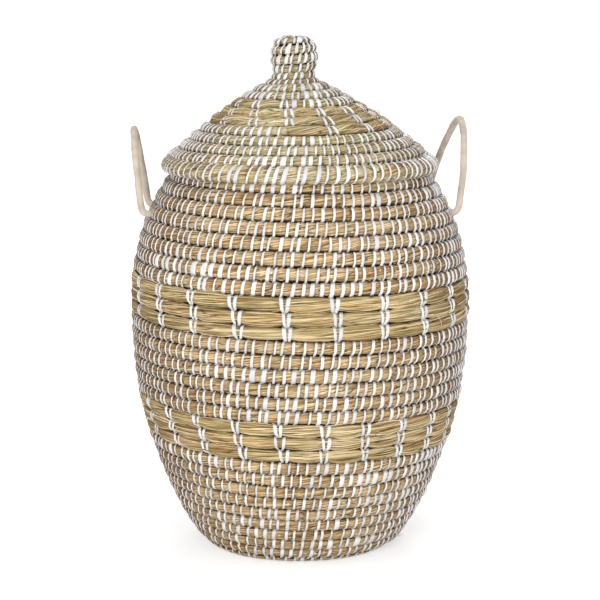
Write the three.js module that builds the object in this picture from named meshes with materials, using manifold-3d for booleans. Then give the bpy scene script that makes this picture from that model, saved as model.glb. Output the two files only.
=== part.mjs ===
// A lidded laundry hamper of coiled straw: a round-bellied basket, a conical lid with a knob, and two rope
// handles. Millimetres, +Z up, the origin on the floor under the middle of the basket, -Y the front.
//
// The basket is one long coil of straw, laid round and round and stitched to itself, and so is the lid.
// Each coil follows a meridian, the line that the middle of the wall draws in the (radius, height) plane.
// A coil climbs one row in each turn, clockwise from above, and every stitched zone of it is its own mesh.
import * as THREE from "three";
import { mergeVertices } from "three/addons/utils/BufferGeometryUtils.js";
import Module from "manifold-3d";

const wasm = await Module();
wasm.setup();

// Basket, measured over its rows.
const FOOT_RADIUS = 119.5;
const BELLY_RADIUS = 200;
const BELLY_HEIGHT = 274;
const MOUTH_RADIUS = 145.5;
const WALL_HEIGHT = 452.5;
const LOWER_FULLNESS = 2.06;
const UPPER_FULLNESS = 2.6;
const ROW_THICKNESS = 14;
const FLOOR_COIL_RADIUS = 92;
const BEND_HEIGHT = 10;

// Rows of the basket in its stitched zones, counted at the front from the floor up.
const LOWER_ROWS = 9;
const LOWER_BAND_ROWS = 3;
const MIDDLE_ROWS = 6;
const UPPER_BAND_ROWS = 3;
const UPPER_ROWS = 7;
const RIM_ROWS = 1;

// Lid, measured from the plane that its edge coil rests on. The lap is how far the edge coil reaches in over
// the mouth, and the lean is how far the top of the hand-made crown, and the knob on it, stand to the left.
const LID_RADIUS = 163.2;
const EDGE_COIL_HEIGHT = 20.5;
const EDGE_COIL_LAP = 6;
const CROWN_RISE = 90;
const CROWN_FULLNESS = 1.3;
const CROWN_LEAN = 7;
const LOCATING_COIL_WIDTH = 13;
const LOCATING_COIL_HEIGHT = 20;
const LOCATING_CLEARANCE = 3;

// Knob, measured over its rows. Its height, the neck's and the flare's are above the crown's first row, and
// the drops to its shoulder's and its belly's lower ends are below its top.
const KNOB_RADIUS = 28;
const KNOB_NECK_RADIUS = 24.5;
const KNOB_FOOT_RADIUS = 30;
const KNOB_HEIGHT = 58;
const KNOB_THICKNESS = 11;
const KNOB_SHOULDER = 10;
const KNOB_SHOULDER_DROP = 14;
const KNOB_BELLY_DROP = 23;
const KNOB_NECK_HEIGHT = 18.5;
const KNOB_FLARE = 2.5;
const KNOB_FLARE_HEIGHT = 7.5;
const KNOB_EYE_RADIUS = 1.5;

// Rows of the lid in its stitched zones, counted from the middle of the knob outwards.
const KNOB_ROWS = 7;
const INNER_ROWS = 2;
const LID_BAND_ROWS = 3;
const OUTER_ROWS = 4;

// Rope handles. Their feet go through the wall under this many rows of the basket.
const ROPE_DIAMETER = 8;
const HANDLE_ROW = 25;
const HANDLE_HALF_ANGLE = 21.5;
const HANDLE_LEAN = 13;
const LEFT_HANDLE_HEIGHT = 100;
const RIGHT_HANDLE_HEIGHT = 110;
const LEFT_HANDLE_AZIMUTH = -90;
const RIGHT_HANDLE_AZIMUTH = 100;
const HANDLE_STAND_OFF = 5;
const KNOT_DIAMETER = 19;
const KNOT_LENGTH = 17;
const ROPE_TAG_LENGTH = 14;

// Clearances.
const ROW_GAP = 0.5;
const SEAT_GAP = 0.3;
const KNOT_GAP = 0.6;

// Fineness of the meshes.
const STEPS_PER_TURN = 24;
const KNOB_STEPS_PER_TURN = 12;
const ROPE_SIDES = 10;
const HANDLE_STEPS = 24;
const TAIL_SIDES = 12;
const THINNEST_ROW = 2.5;
const END_RINGS = [15, 40, 65];
const KNOT_RINGS = [30, 50, 70, 90, 110, 130, 150];

const BODY_ROWS = LOWER_ROWS + LOWER_BAND_ROWS + MIDDLE_ROWS + UPPER_BAND_ROWS + UPPER_ROWS + RIM_ROWS;
const CROWN_ROWS = INNER_ROWS + LID_BAND_ROWS + OUTER_ROWS;

const STRAW = { color: 0xb08d55, roughness: 0.75, metalness: 0 };
const BAND_STRAW = { color: 0xa3946a, roughness: 0.78, metalness: 0 };
const ROPE = { color: 0xd9cdb8, roughness: 0.9, metalness: 0 };

const radians = THREE.MathUtils.degToRad;

// The hamper as a group of named meshes.
const hamper = new THREE.Group();
const basket = new THREE.Group();
const lid = new THREE.Group();
hamper.add(basket, lid);

function addMesh(parent, name, geometry, finish) {
  const mesh = new THREE.Mesh(geometry, new THREE.MeshStandardMaterial(finish));
  mesh.name = name;
  parent.add(mesh);
  return mesh;
}

// The radius over the basket's rows at a height: two power curves that meet, upright, at the belly.
function basketRadius(height) {
  if (height < BELLY_HEIGHT) {
    const below = (BELLY_HEIGHT - height) / BELLY_HEIGHT;
    return BELLY_RADIUS - (BELLY_RADIUS - FOOT_RADIUS) * below ** LOWER_FULLNESS;
  }
  const above = (height - BELLY_HEIGHT) / (WALL_HEIGHT - BELLY_HEIGHT);
  return BELLY_RADIUS - (BELLY_RADIUS - MOUTH_RADIUS) * above ** UPPER_FULLNESS;
}

// The outward direction of the basket's wall at a height, in the (radius, height) plane.
function basketOutward(height) {
  const step = 0.01;
  const low = Math.max(height - step, 0);
  const slope = (basketRadius(height + step) - basketRadius(low)) / (height + step - low);
  return new THREE.Vector2(1, -slope).normalize();
}

// A point at a depth inside the basket's outer surface.
function insideBasket(height, depth) {
  return new THREE.Vector2(basketRadius(height), height).addScaledVector(basketOutward(height), -depth);
}

// The middle of the basket's wall, from a start height up to the rim.
class WallCurve extends THREE.Curve {
  constructor(start) {
    super();
    this.start = start;
  }

  getPoint(t, target = new THREE.Vector2()) {
    return target.copy(insideBasket(THREE.MathUtils.lerp(this.start, WALL_HEIGHT, t), ROW_THICKNESS / 2));
  }
}

// The middle of the lid's crown, from the foot of the knob down to the edge coil.
class CrownCurve extends THREE.Curve {
  constructor(edge) {
    super();
    this.edge = edge;
  }

  getPoint(t, target = new THREE.Vector2()) {
    const radius = THREE.MathUtils.lerp(KNOB_FOOT_RADIUS, this.edge.x, t);
    const drop = CROWN_RISE * (radius / this.edge.x) ** CROWN_FULLNESS;
    return target.set(radius, this.edge.y + CROWN_RISE - drop);
  }
}

// A meridian and the places on it where its rows meet. Row numbers run along it and need not be whole.
// stretches lists the meridian's lengths, each with its curve and the count of rows that share it, and
// outerSide is 1 where the outside lies to the right of the way along it, and -1 to the left.
class Meridian {
  constructor(stretches, firstRow, outerSide) {
    this.firstRow = firstRow;
    this.outerSide = outerSide;
    this.stretches = stretches.map(({ curve, rows }) => {
      curve.arcLengthDivisions = 800;
      return { curve, rows, length: curve.getLength() };
    });
    this.lastRow = firstRow + stretches.reduce((sum, { rows }) => sum + rows, 0);
  }

  // The length of one row's place at a row number.
  pitch(row) {
    const { stretch } = this.find(row);
    return stretch.length / stretch.rows;
  }

  find(row) {
    let left = THREE.MathUtils.clamp(row, this.firstRow, this.lastRow) - this.firstRow;
    for (const stretch of this.stretches) {
      if (left <= stretch.rows || stretch === this.stretches.at(-1)) return { stretch, left };
      left -= stretch.rows;
    }
  }

  point(row) {
    const { stretch, left } = this.find(row);
    return stretch.curve.getPointAt(Math.min(left / stretch.rows, 1));
  }

  outward(row) {
    const { stretch, left } = this.find(row);
    const along = stretch.curve.getTangentAt(Math.min(left / stretch.rows, 1));
    return new THREE.Vector2(along.y, -along.x).multiplyScalar(this.outerSide);
  }
}

// A ring of points in the (radius, height) plane, carried to an azimuth. Azimuth 0 is the front, -Y, and
// azimuths grow towards +X. lean gives how far a height stands to the left.
function placeRing(ring, azimuth, lean) {
  const across = Math.sin(azimuth);
  const back = -Math.cos(azimuth);
  return ring.map(({ x: radius, y: height }) => {
    return new THREE.Vector3(radius * across - lean(height), radius * back, height);
  });
}

// A closed tube through rings of as many points each, with flat ends.
function tubeThrough(rings) {
  const sides = rings[0].length;
  const corners = [];
  const quad = (a, b, c, d) => corners.push(a, b, c, a, c, d);
  for (let i = 1; i < rings.length; i++) {
    for (let j = 0; j < sides; j++) {
      const k = (j + 1) % sides;
      quad(rings[i - 1][j], rings[i - 1][k], rings[i][k], rings[i][j]);
    }
  }
  const last = rings.at(-1);
  for (let j = 2; j < sides; j++) {
    corners.push(rings[0][0], rings[0][j], rings[0][j - 1]);
    corners.push(last[0], last[j - 1], last[j]);
  }
  const geometry = new THREE.BufferGeometry().setFromPoints(corners);
  geometry.computeVertexNormals();
  return geometry;
}

// The four corners of a row's section that ends at a row number: its seams with the rows on both sides, and
// its crowns on the right and the left of the way along the meridian.
function rowSection(meridian, row, thickness) {
  const low = Math.max(row - 1, meridian.firstRow);
  const high = Math.min(row, meridian.lastRow);
  const middle = (low + high) / 2;
  const inset = ROW_GAP / 2 / meridian.pitch(middle);
  const half = (thickness(middle) / 2) * (high - low);
  const centre = meridian.point(middle);
  const toRight = meridian.outward(middle).multiplyScalar(meridian.outerSide);
  return [
    meridian.point(low + inset),
    centre.clone().addScaledVector(toRight, half),
    meridian.point(high - inset),
    centre.clone().addScaledVector(toRight, -half),
  ];
}

// Points along the edges of a section, as many on each edge.
function edgePoints(section, perEdge) {
  return section.flatMap((corner, i) => {
    const next = section[(i + 1) % section.length];
    return Array.from({ length: perEdge }, (_, k) => corner.clone().lerp(next, k / perEdge));
  });
}

// The least distance between a section and the one a turn further on.
function sectionGap(one, other) {
  const far = edgePoints(other, 4);
  return Math.min(...edgePoints(one, 4).flatMap((p) => far.map((q) => p.distanceTo(q))));
}

let leastGap = Infinity;

// One unbroken stretch of a coil, from one row number to another, thinning out where its row has less than
// a whole row's place. seam is the azimuth of whole row numbers.
function coil(meridian, { from, to, seam, thickness, lean, stepsPerTurn = STEPS_PER_TURN }) {
  const first = Math.max(from, meridian.firstRow + THINNEST_ROW / meridian.pitch(from));
  const last = Math.min(to, meridian.lastRow + 1 - THINNEST_ROW / meridian.pitch(to));
  const endGap = (row) => SEAT_GAP / (2 * Math.PI * Math.max(meridian.point(row - 1).x, ROPE_DIAMETER));
  const rowsAt = [first + endGap(first)];
  const firstStep = Math.floor(first * stepsPerTurn) + 1;
  for (let k = firstStep; k / stepsPerTurn < last; k++) rowsAt.push(k / stepsPerTurn);
  rowsAt.push(last - endGap(last));
  const sections = rowsAt.map((row) => rowSection(meridian, row, thickness));
  for (let i = 1; i + stepsPerTurn < rowsAt.length - 1; i++) {
    leastGap = Math.min(leastGap, sectionGap(sections[i], sections[i + stepsPerTurn]));
  }
  const azimuthAt = (row) => seam - 2 * Math.PI * row;
  return tubeThrough(sections.map((section, i) => placeRing(section, azimuthAt(rowsAt[i]), lean)));
}

// Zones of a coil that follow each other: a list of [name, rows, finish], the first from a row number.
function coilZones(parent, meridian, zones, first, options) {
  let from = first;
  for (const [name, rows, finish, more] of zones) {
    addMesh(parent, name, coil(meridian, { from, to: from + rows, ...options, ...more }), finish);
    from += rows;
  }
}

// A closed mesh as a solid, and back.
function solidOf(geometry) {
  const bare = geometry.clone();
  bare.deleteAttribute("normal");
  bare.deleteAttribute("uv");
  const merged = mergeVertices(bare, 1e-3);
  const vertProperties = merged.attributes.position.array;
  const triVerts = new Uint32Array(merged.index.array);
  return new wasm.Manifold(new wasm.Mesh({ numProp: 3, vertProperties, triVerts }));
}

function geometryOf(solid) {
  const { vertProperties, triVerts } = solid.getMesh();
  return new THREE.BufferGeometry()
    .setAttribute("position", new THREE.BufferAttribute(vertProperties, 3))
    .setIndex(new THREE.BufferAttribute(triVerts, 1))
    .toNonIndexed();
}

// Basket: its meridian runs out along the floor, round a bend and up the wall. Row 0 of the wall stands on
// the outermost row of the floor, so the wall's coil starts a row and a half further in.
const bodyMeridian = (() => {
  const centreHeight = ROW_THICKNESS / 2;
  const wall = new WallCurve(BEND_HEIGHT);
  const bendEnd = wall.getPoint(0);
  const up = wall.getTangent(0);
  const corner = bendEnd.clone().addScaledVector(up, (centreHeight - bendEnd.y) / up.y);
  const bendStart = new THREE.Vector2(corner.x - corner.distanceTo(bendEnd), centreHeight);
  const path = new THREE.CurvePath();
  path.add(new THREE.LineCurve(new THREE.Vector2(FLOOR_COIL_RADIUS, centreHeight), bendStart));
  path.add(new THREE.QuadraticBezierCurve(bendStart, corner, bendEnd));
  path.add(wall);
  return new Meridian([{ curve: path, rows: BODY_ROWS + 1.5 }], -1.5, 1);
})();
const wallThickness = () => ROW_THICKNESS;
const upright = () => 0;

// The floor: a flat spiral's outline, with the step where the wall's coil leaves it at the back.
function floorGeometry() {
  const outline = [];
  for (let k = 0; k <= STEPS_PER_TURN; k++) {
    const row = k / STEPS_PER_TURN - 0.5;
    const radius = bodyMeridian.point(row - 1).x - ROW_GAP / 2;
    const azimuth = -2 * Math.PI * row - (k === STEPS_PER_TURN ? -SEAT_GAP / radius : 0);
    outline.push(new THREE.Vector2(radius * Math.sin(azimuth), -radius * Math.cos(azimuth)));
  }
  const shape = new THREE.Shape(outline.reverse());
  return new THREE.ExtrudeGeometry(shape, { depth: ROW_THICKNESS, bevelEnabled: false });
}
addMesh(basket, "base_coil", floorGeometry(), STRAW);

coilZones(
  basket,
  bodyMeridian,
  [
    ["lower_wall_coil", LOWER_ROWS + 1, STRAW],
    ["lower_band", LOWER_BAND_ROWS, BAND_STRAW],
    ["middle_wall_coil", MIDDLE_ROWS, STRAW],
    ["upper_band", UPPER_BAND_ROWS, BAND_STRAW],
    ["upper_wall_coil", UPPER_ROWS, STRAW],
    ["rim_coil", RIM_ROWS + 1, STRAW],
  ],
  -0.5,
  { seam: 0, thickness: wallThickness, lean: upright },
);

// Lid: the knob and the crown are one coil, and the fat edge coil closes the crown.
const LID_SEAM = radians(-6);
const edgeWidth = LID_RADIUS - MOUTH_RADIUS + EDGE_COIL_LAP;
const edgeCentre = new THREE.Vector2(LID_RADIUS - edgeWidth / 2, EDGE_COIL_HEIGHT / 2);

// The six corners of a section that is flat on top and below, from its outermost corner round over its top.
function hexagon(centre, width, height) {
  return [
    [width / 2, 0],
    [width / 4, height / 2],
    [-width / 4, height / 2],
    [-width / 2, 0],
    [-width / 4, -height / 2],
    [width / 4, -height / 2],
  ].map(([x, y]) => new THREE.Vector2(x, y).add(centre));
}

// The crown's last row lies on the middle of the edge coil's sloping flat.
const [, , flatTop, flatFoot] = hexagon(edgeCentre, edgeWidth, EDGE_COIL_HEIGHT);
const flatAlong = flatTop.clone().sub(flatFoot).normalize();
const crownEdge = flatTop.clone().lerp(flatFoot, 0.5);
crownEdge.addScaledVector(new THREE.Vector2(-flatAlong.y, flatAlong.x), SEAT_GAP);
const crown = new CrownCurve(crownEdge);
const knobFoot = crown.getPoint(0);
const crownLean = (height) => {
  return CROWN_LEAN * THREE.MathUtils.smoothstep(height, crownEdge.y, crownEdge.y + CROWN_RISE);
};

// The middle of the knob's wall, from its eye over the shoulder and down to the crown.
function knobCurve() {
  const half = KNOB_THICKNESS / 2;
  const top = knobFoot.y + KNOB_HEIGHT - half;
  const side = KNOB_RADIUS - half;
  const neck = KNOB_NECK_RADIUS - half;
  return new THREE.SplineCurve([
    new THREE.Vector2(KNOB_EYE_RADIUS, top),
    new THREE.Vector2(side - KNOB_SHOULDER, top),
    new THREE.Vector2(side - KNOB_SHOULDER / 4, top - KNOB_SHOULDER_DROP / 3),
    new THREE.Vector2(side, top - KNOB_SHOULDER_DROP),
    new THREE.Vector2(side, top - KNOB_BELLY_DROP),
    new THREE.Vector2(neck, knobFoot.y + KNOB_NECK_HEIGHT),
    new THREE.Vector2(neck + KNOB_FLARE, knobFoot.y + KNOB_FLARE_HEIGHT),
    knobFoot,
  ]);
}

const lidStretches = [
  { curve: knobCurve(), rows: KNOB_ROWS },
  { curve: crown, rows: CROWN_ROWS },
];
const lidMeridian = new Meridian(lidStretches, 0, -1);
const lidThickness = (row) => {
  const share = THREE.MathUtils.smoothstep(row, KNOB_ROWS - 1, KNOB_ROWS + 1);
  return THREE.MathUtils.lerp(KNOB_THICKNESS, ROW_THICKNESS, share);
};

coilZones(
  lid,
  lidMeridian,
  [
    ["knob_coil", KNOB_ROWS, BAND_STRAW, { stepsPerTurn: KNOB_STEPS_PER_TURN }],
    ["lid_inner_coil", INNER_ROWS + 1, STRAW],
    ["lid_band", LID_BAND_ROWS, BAND_STRAW],
    ["lid_outer_coil", OUTER_ROWS, STRAW],
  ],
  0,
  { seam: LID_SEAM, thickness: lidThickness, lean: crownLean },
);

// A single turn of coil of six sides, flat on top and below, whose ends meet at the seam.
function ringCoil(centre, width, height) {
  const section = hexagon(centre, width, height);
  const endGap = SEAT_GAP / 2 / centre.x;
  const rings = Array.from({ length: STEPS_PER_TURN + 1 }, (_, k) => {
    const turned = (2 * Math.PI * k) / STEPS_PER_TURN;
    const azimuth = LID_SEAM - THREE.MathUtils.clamp(turned, endGap, 2 * Math.PI - endGap);
    return placeRing(section, azimuth, upright);
  });
  return tubeThrough(rings);
}
addMesh(lid, "lid_edge_coil", ringCoil(edgeCentre, edgeWidth, EDGE_COIL_HEIGHT), STRAW);

// The lid's seat: the flat under its edge coil meets the slope of the rim's top row. The flat's inner edge
// is a polygon, which comes in a little between its corners.
const [, rimCrown, rimTop, rimInside] = rowSection(bodyMeridian, BODY_ROWS, wallThickness);
const seatRadius = (edgeCentre.x - edgeWidth / 4) * Math.cos(Math.PI / STEPS_PER_TURN);
const seatShare = (seatRadius - rimTop.x) / (rimCrown.x - rimTop.x);
const seatHeight = THREE.MathUtils.lerp(rimTop.y, rimCrown.y, THREE.MathUtils.clamp(seatShare, 0, 1));
lid.position.z = seatHeight + SEAT_GAP;

// The lowest height of the crown's rows between two radii.
function crownUnderside(inner, outer) {
  const heights = [];
  for (let row = KNOB_ROWS; row < lidMeridian.lastRow + 1; row += 1 / STEPS_PER_TURN) {
    for (const { x, y } of edgePoints(rowSection(lidMeridian, row, lidThickness), 32)) {
      if (x > inner && x < outer) heights.push(y);
    }
  }
  return Math.min(...heights);
}

// The coil sewn under the lid that drops into the mouth and keeps the lid from sliding off.
const mouthRadius = Math.min(rimInside.x, rimTop.x);
const locatingRadius = mouthRadius - LOCATING_CLEARANCE - LOCATING_COIL_WIDTH / 2;
const locatingFlat = LOCATING_COIL_WIDTH / 4;
const locatingTop = crownUnderside(locatingRadius - locatingFlat, locatingRadius + locatingFlat) - SEAT_GAP;
const locatingCentre = new THREE.Vector2(locatingRadius, locatingTop - LOCATING_COIL_HEIGHT / 2);
const locatingCoil = ringCoil(locatingCentre, LOCATING_COIL_WIDTH, LOCATING_COIL_HEIGHT);
addMesh(lid, "lid_locating_coil", locatingCoil, STRAW);

// Handles: each is one rope. Its loop stands outside the wall on the line that joins its two feet, and its
// ends go in through the wall and are knotted there.
const footPoint = bodyMeridian.point(HANDLE_ROW);
footPoint.addScaledVector(bodyMeridian.outward(HANDLE_ROW), ROW_THICKNESS / 2);
const footRadius = footPoint.x + HANDLE_STAND_OFF;
const footHeight = footPoint.y;
const footOutward = basketOutward(footHeight);
const ropeRadius = ROPE_DIAMETER / 2;
const halfAngle = radians(HANDLE_HALF_ANGLE);

function outwardAt(azimuth) {
  return new THREE.Vector3(Math.sin(azimuth), -Math.cos(azimuth), 0);
}

// The loop: half an ellipse of rope in a plane that leans outwards, with a round end at each foot.
function handleLoop(azimuth, height) {
  const outward = outwardAt(azimuth);
  const across = outwardAt(azimuth + Math.PI / 2);
  const lean = radians(HANDLE_LEAN);
  const up = outward.clone().multiplyScalar(Math.sin(lean)).setZ(Math.cos(lean));
  const facing = across.clone().cross(up);
  const hinge = outward.clone().multiplyScalar(footRadius * Math.cos(halfAngle)).setZ(footHeight);
  const halfSpan = footRadius * Math.sin(halfAngle);
  const stations = [];
  const addStation = (point, along, radius) => {
    stations.push({ point, along: along.clone().normalize(), radius });
  };
  const inLoop = (start, acrossBy, upBy) => {
    return start.clone().addScaledVector(across, acrossBy).addScaledVector(up, upBy);
  };
  const at = (angle) => inLoop(hinge, halfSpan * Math.cos(angle), height * Math.sin(angle));
  const alongAt = (angle) => {
    return inLoop(new THREE.Vector3(), -halfSpan * Math.sin(angle), height * Math.cos(angle));
  };
  const roundEnd = END_RINGS.map(radians);
  for (const tilt of roundEnd) {
    const point = at(0).addScaledVector(up, -ropeRadius * Math.cos(tilt));
    addStation(point, alongAt(0), ropeRadius * Math.sin(tilt));
  }
  for (let k = 0; k <= HANDLE_STEPS; k++) {
    const angle = (Math.PI * k) / HANDLE_STEPS;
    addStation(at(angle), alongAt(angle), ropeRadius);
  }
  for (const tilt of roundEnd.toReversed()) {
    const point = at(Math.PI).addScaledVector(up, -ropeRadius * Math.cos(tilt));
    addStation(point, alongAt(Math.PI), ropeRadius * Math.sin(tilt));
  }
  return tubeThrough(stations.map(({ point, along, radius }) => {
    const inPlane = facing.clone().cross(along);
    return Array.from({ length: ROPE_SIDES }, (_, j) => {
      const turned = (2 * Math.PI * j) / ROPE_SIDES;
      return point.clone()
        .addScaledVector(inPlane, radius * Math.cos(turned))
        .addScaledVector(facing, radius * Math.sin(turned));
    });
  }));
}

// Turns a piece made along Y so that Y points out of the wall at a foot, with its origin at the loop's end.
function atFoot(geometry, azimuth) {
  const outward = outwardAt(azimuth);
  const up = new THREE.Vector3(0, 0, 1);
  const turned = new THREE.Matrix4().makeBasis(outward.clone().cross(up), outward, up);
  turned.setPosition(outward.clone().multiplyScalar(footRadius).setZ(footHeight));
  return geometry.applyMatrix4(turned);
}

// One end of a rope: through the wall, into a knot, and out of it in a short tag.
function ropeEnd() {
  const wallEnd = -ropeRadius - SEAT_GAP;
  const knotDepth = (ROW_THICKNESS + KNOT_DIAMETER / 2 + KNOT_GAP) / footOutward.x + HANDLE_STAND_OFF;
  const knotPoints = KNOT_RINGS.map(radians).map((turned) => {
    const radius = (KNOT_DIAMETER / 2) * Math.sin(turned);
    return new THREE.Vector2(radius, -knotDepth + (KNOT_LENGTH / 2) * Math.cos(turned));
  });
  const tagEnd = -knotDepth - KNOT_LENGTH / 2 - ROPE_TAG_LENGTH;
  const profile = [
    new THREE.Vector2(0, wallEnd),
    new THREE.Vector2(ropeRadius, wallEnd),
    new THREE.Vector2(ropeRadius, knotPoints[0].y + SEAT_GAP),
    ...knotPoints,
    new THREE.Vector2(ropeRadius, knotPoints.at(-1).y - SEAT_GAP),
    new THREE.Vector2(ropeRadius, tagEnd),
    new THREE.Vector2(0, tagEnd),
  ];
  return new THREE.LatheGeometry(profile.reverse(), TAIL_SIDES);
}

// The hole that a rope end needs in the wall.
function footHole() {
  const radius = ropeRadius + SEAT_GAP;
  const length = 4 * ROW_THICKNESS;
  return new THREE.CylinderGeometry(radius, radius, length, TAIL_SIDES).translate(0, -length / 2, 0);
}

const handles = [
  ["left", radians(LEFT_HANDLE_AZIMUTH), LEFT_HANDLE_HEIGHT],
  ["right", radians(RIGHT_HANDLE_AZIMUTH), RIGHT_HANDLE_HEIGHT],
];
const pierced = basket.getObjectByName("upper_wall_coil");
let piercedSolid = solidOf(pierced.geometry);
for (const [side, azimuth, height] of handles) {
  addMesh(hamper, `handle_${side}`, handleLoop(azimuth, height), ROPE);
  const inFront = Math.sign(azimuth);
  for (const [place, footAzimuth] of [
    ["front", azimuth - inFront * halfAngle],
    ["back", azimuth + inFront * halfAngle],
  ]) {
    addMesh(hamper, `rope_end_${side}_${place}`, atFoot(ropeEnd(), footAzimuth), ROPE);
    piercedSolid = piercedSolid.subtract(solidOf(atFoot(footHole(), footAzimuth)));
  }
}
pierced.geometry = geometryOf(piercedSolid);

console.log(`least gap between the turns of a coil: ${leastGap.toFixed(2)} mm`);

export default hamper;
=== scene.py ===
"""A lidded laundry hamper of coiled straw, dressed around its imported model.

The basket and its lid are bundles of dry straw, laid round and round in rows and sewn to each other with
white strips. Every surface of a row is a function of two parameters: the row number, which runs along the
coil, and the angle round the row's section. Rows, stitches, loose straws and stray ends are all worked out
from it.
"""

import logging
import math
from dataclasses import dataclass, field
from enum import Enum
from functools import partial
from typing import Callable, Optional, Sequence

import bpy
import numpy as np
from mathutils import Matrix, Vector


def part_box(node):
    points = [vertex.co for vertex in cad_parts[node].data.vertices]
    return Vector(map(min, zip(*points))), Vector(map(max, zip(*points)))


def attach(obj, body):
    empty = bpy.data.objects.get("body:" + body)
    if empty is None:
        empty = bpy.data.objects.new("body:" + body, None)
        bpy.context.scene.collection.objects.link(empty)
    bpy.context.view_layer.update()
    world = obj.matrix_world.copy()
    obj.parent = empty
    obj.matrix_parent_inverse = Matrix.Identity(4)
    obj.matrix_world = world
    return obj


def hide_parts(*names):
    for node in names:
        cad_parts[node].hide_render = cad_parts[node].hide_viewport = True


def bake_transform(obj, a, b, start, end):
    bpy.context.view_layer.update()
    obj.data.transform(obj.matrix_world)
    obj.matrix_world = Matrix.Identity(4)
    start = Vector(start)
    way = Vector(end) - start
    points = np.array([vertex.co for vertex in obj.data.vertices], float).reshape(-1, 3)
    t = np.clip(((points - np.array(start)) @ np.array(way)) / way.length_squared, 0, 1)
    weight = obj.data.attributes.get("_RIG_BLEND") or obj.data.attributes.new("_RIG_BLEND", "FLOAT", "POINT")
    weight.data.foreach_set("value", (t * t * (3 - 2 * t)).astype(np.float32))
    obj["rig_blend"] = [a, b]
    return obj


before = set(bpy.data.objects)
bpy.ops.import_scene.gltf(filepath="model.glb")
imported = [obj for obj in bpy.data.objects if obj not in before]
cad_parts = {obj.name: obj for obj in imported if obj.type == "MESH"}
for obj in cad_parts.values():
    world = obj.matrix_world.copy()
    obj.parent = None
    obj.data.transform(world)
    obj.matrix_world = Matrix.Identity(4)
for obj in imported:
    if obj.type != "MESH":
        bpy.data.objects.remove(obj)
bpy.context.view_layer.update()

LOG = logging.getLogger("hamper")
MM = 0.001
TURN = 2 * math.pi
STRAND_UV = "Strand"
TONE = "tone"
DEPTH = "depth"
PAINTED_SIDE_SHADE = "gold"
Array = np.ndarray


class Body(Enum):
    """The moving bodies of the hamper."""

    BASKET = "basket"
    LID = "lid"
    LEFT_HANDLE = "handle_left"
    RIGHT_HANDLE = "handle_right"


class Sewing(Enum):
    """How the rows of a zone are sewn."""

    CLOSE = "a strip every centimetre"
    COLUMNS = "pairs of strips in columns"


class Slot(Enum):
    """The record's material slots."""

    STRAW = "straw"
    BAND_STRAW = "band_straw"
    ROPE = "rope"


def linear(hex_colour: str) -> tuple[float, float, float, float]:
    """Turns an sRGB hex colour into linear red, green, blue and alpha.

    Args:
        hex_colour: Six hexadecimal digits after a hash sign.

    Returns:
        The four linear channels, alpha 1.
    """
    channels = [int(hex_colour[i:i + 2], 16) / 255 for i in (1, 3, 5)]
    red, green, blue = [c / 12.92 if c <= 0.04045 else ((c + 0.055) / 1.055) ** 2.4 for c in channels]
    return red, green, blue, 1.0


def smoothstep(x: Array, low: float, high: float) -> Array:
    """Rises from 0 at low to 1 at high, level at both: share squared times (3 minus twice the share)."""
    share = np.clip((x - low) / (high - low), 0, 1)
    return share * share * (3 - 2 * share)


def smooth_noise(x: Array, y: Array, seed: float, period: float = 1e6) -> Array:
    """Value noise in two directions.

    Each whole-numbered corner of a grid gets a number between -1 and 1, the fraction of a large sine of its
    place and the seed, and a point takes the smoothstep blend of its cell's four corners.

    Args:
        x: First coordinates, one unit a cell.
        y: Second coordinates, of a shape that broadcasts with x.
        seed: Picks the pattern.
        period: The number of cells after which the pattern repeats in the first direction.

    Returns:
        Values between -1 and 1.
    """
    cell_x, cell_y = np.floor(x), np.floor(y)
    blend_x, blend_y = smoothstep(x - cell_x, 0, 1), smoothstep(y - cell_y, 0, 1)

    def corner(i: int, j: int) -> Array:
        """The number of one corner of the cells."""
        value = np.sin(np.mod(cell_x + i, period) * 127.1 + (cell_y + j) * 311.7 + seed * 74.7) * 43758.5453
        return 2 * (value - np.floor(value)) - 1

    low = corner(0, 0) * (1 - blend_x) + corner(1, 0) * blend_x
    high = corner(0, 1) * (1 - blend_x) + corner(1, 1) * blend_x
    return low * (1 - blend_y) + high * blend_y


def lengths_along(points: Array) -> Array:
    """The length along a line at each of its places: the sum of the distances before it."""
    return np.concatenate([[0], np.cumsum(np.linalg.norm(np.diff(points, axis=0), axis=1))])


def unit(vectors: Array) -> Array:
    """Vectors over their lengths, along the last axis."""
    return vectors / np.linalg.norm(vectors, axis=-1, keepdims=True)


def new_object(name: str, data: bpy.types.ID) -> bpy.types.Object:
    """A new object of the scene.

    Args:
        name: The object's name.
        data: The mesh, the lamp or the camera that it shows.

    Returns:
        The object, at the origin.
    """
    made = bpy.data.objects.new(name, data)
    bpy.context.scene.collection.objects.link(made)
    return made


def point_at(thing: bpy.types.Object, target: Vector) -> None:
    """Turns a camera or a lamp so that it looks at a place."""
    thing.rotation_euler = (target - thing.location).to_track_quat("-Z", "Y").to_euler()


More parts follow.
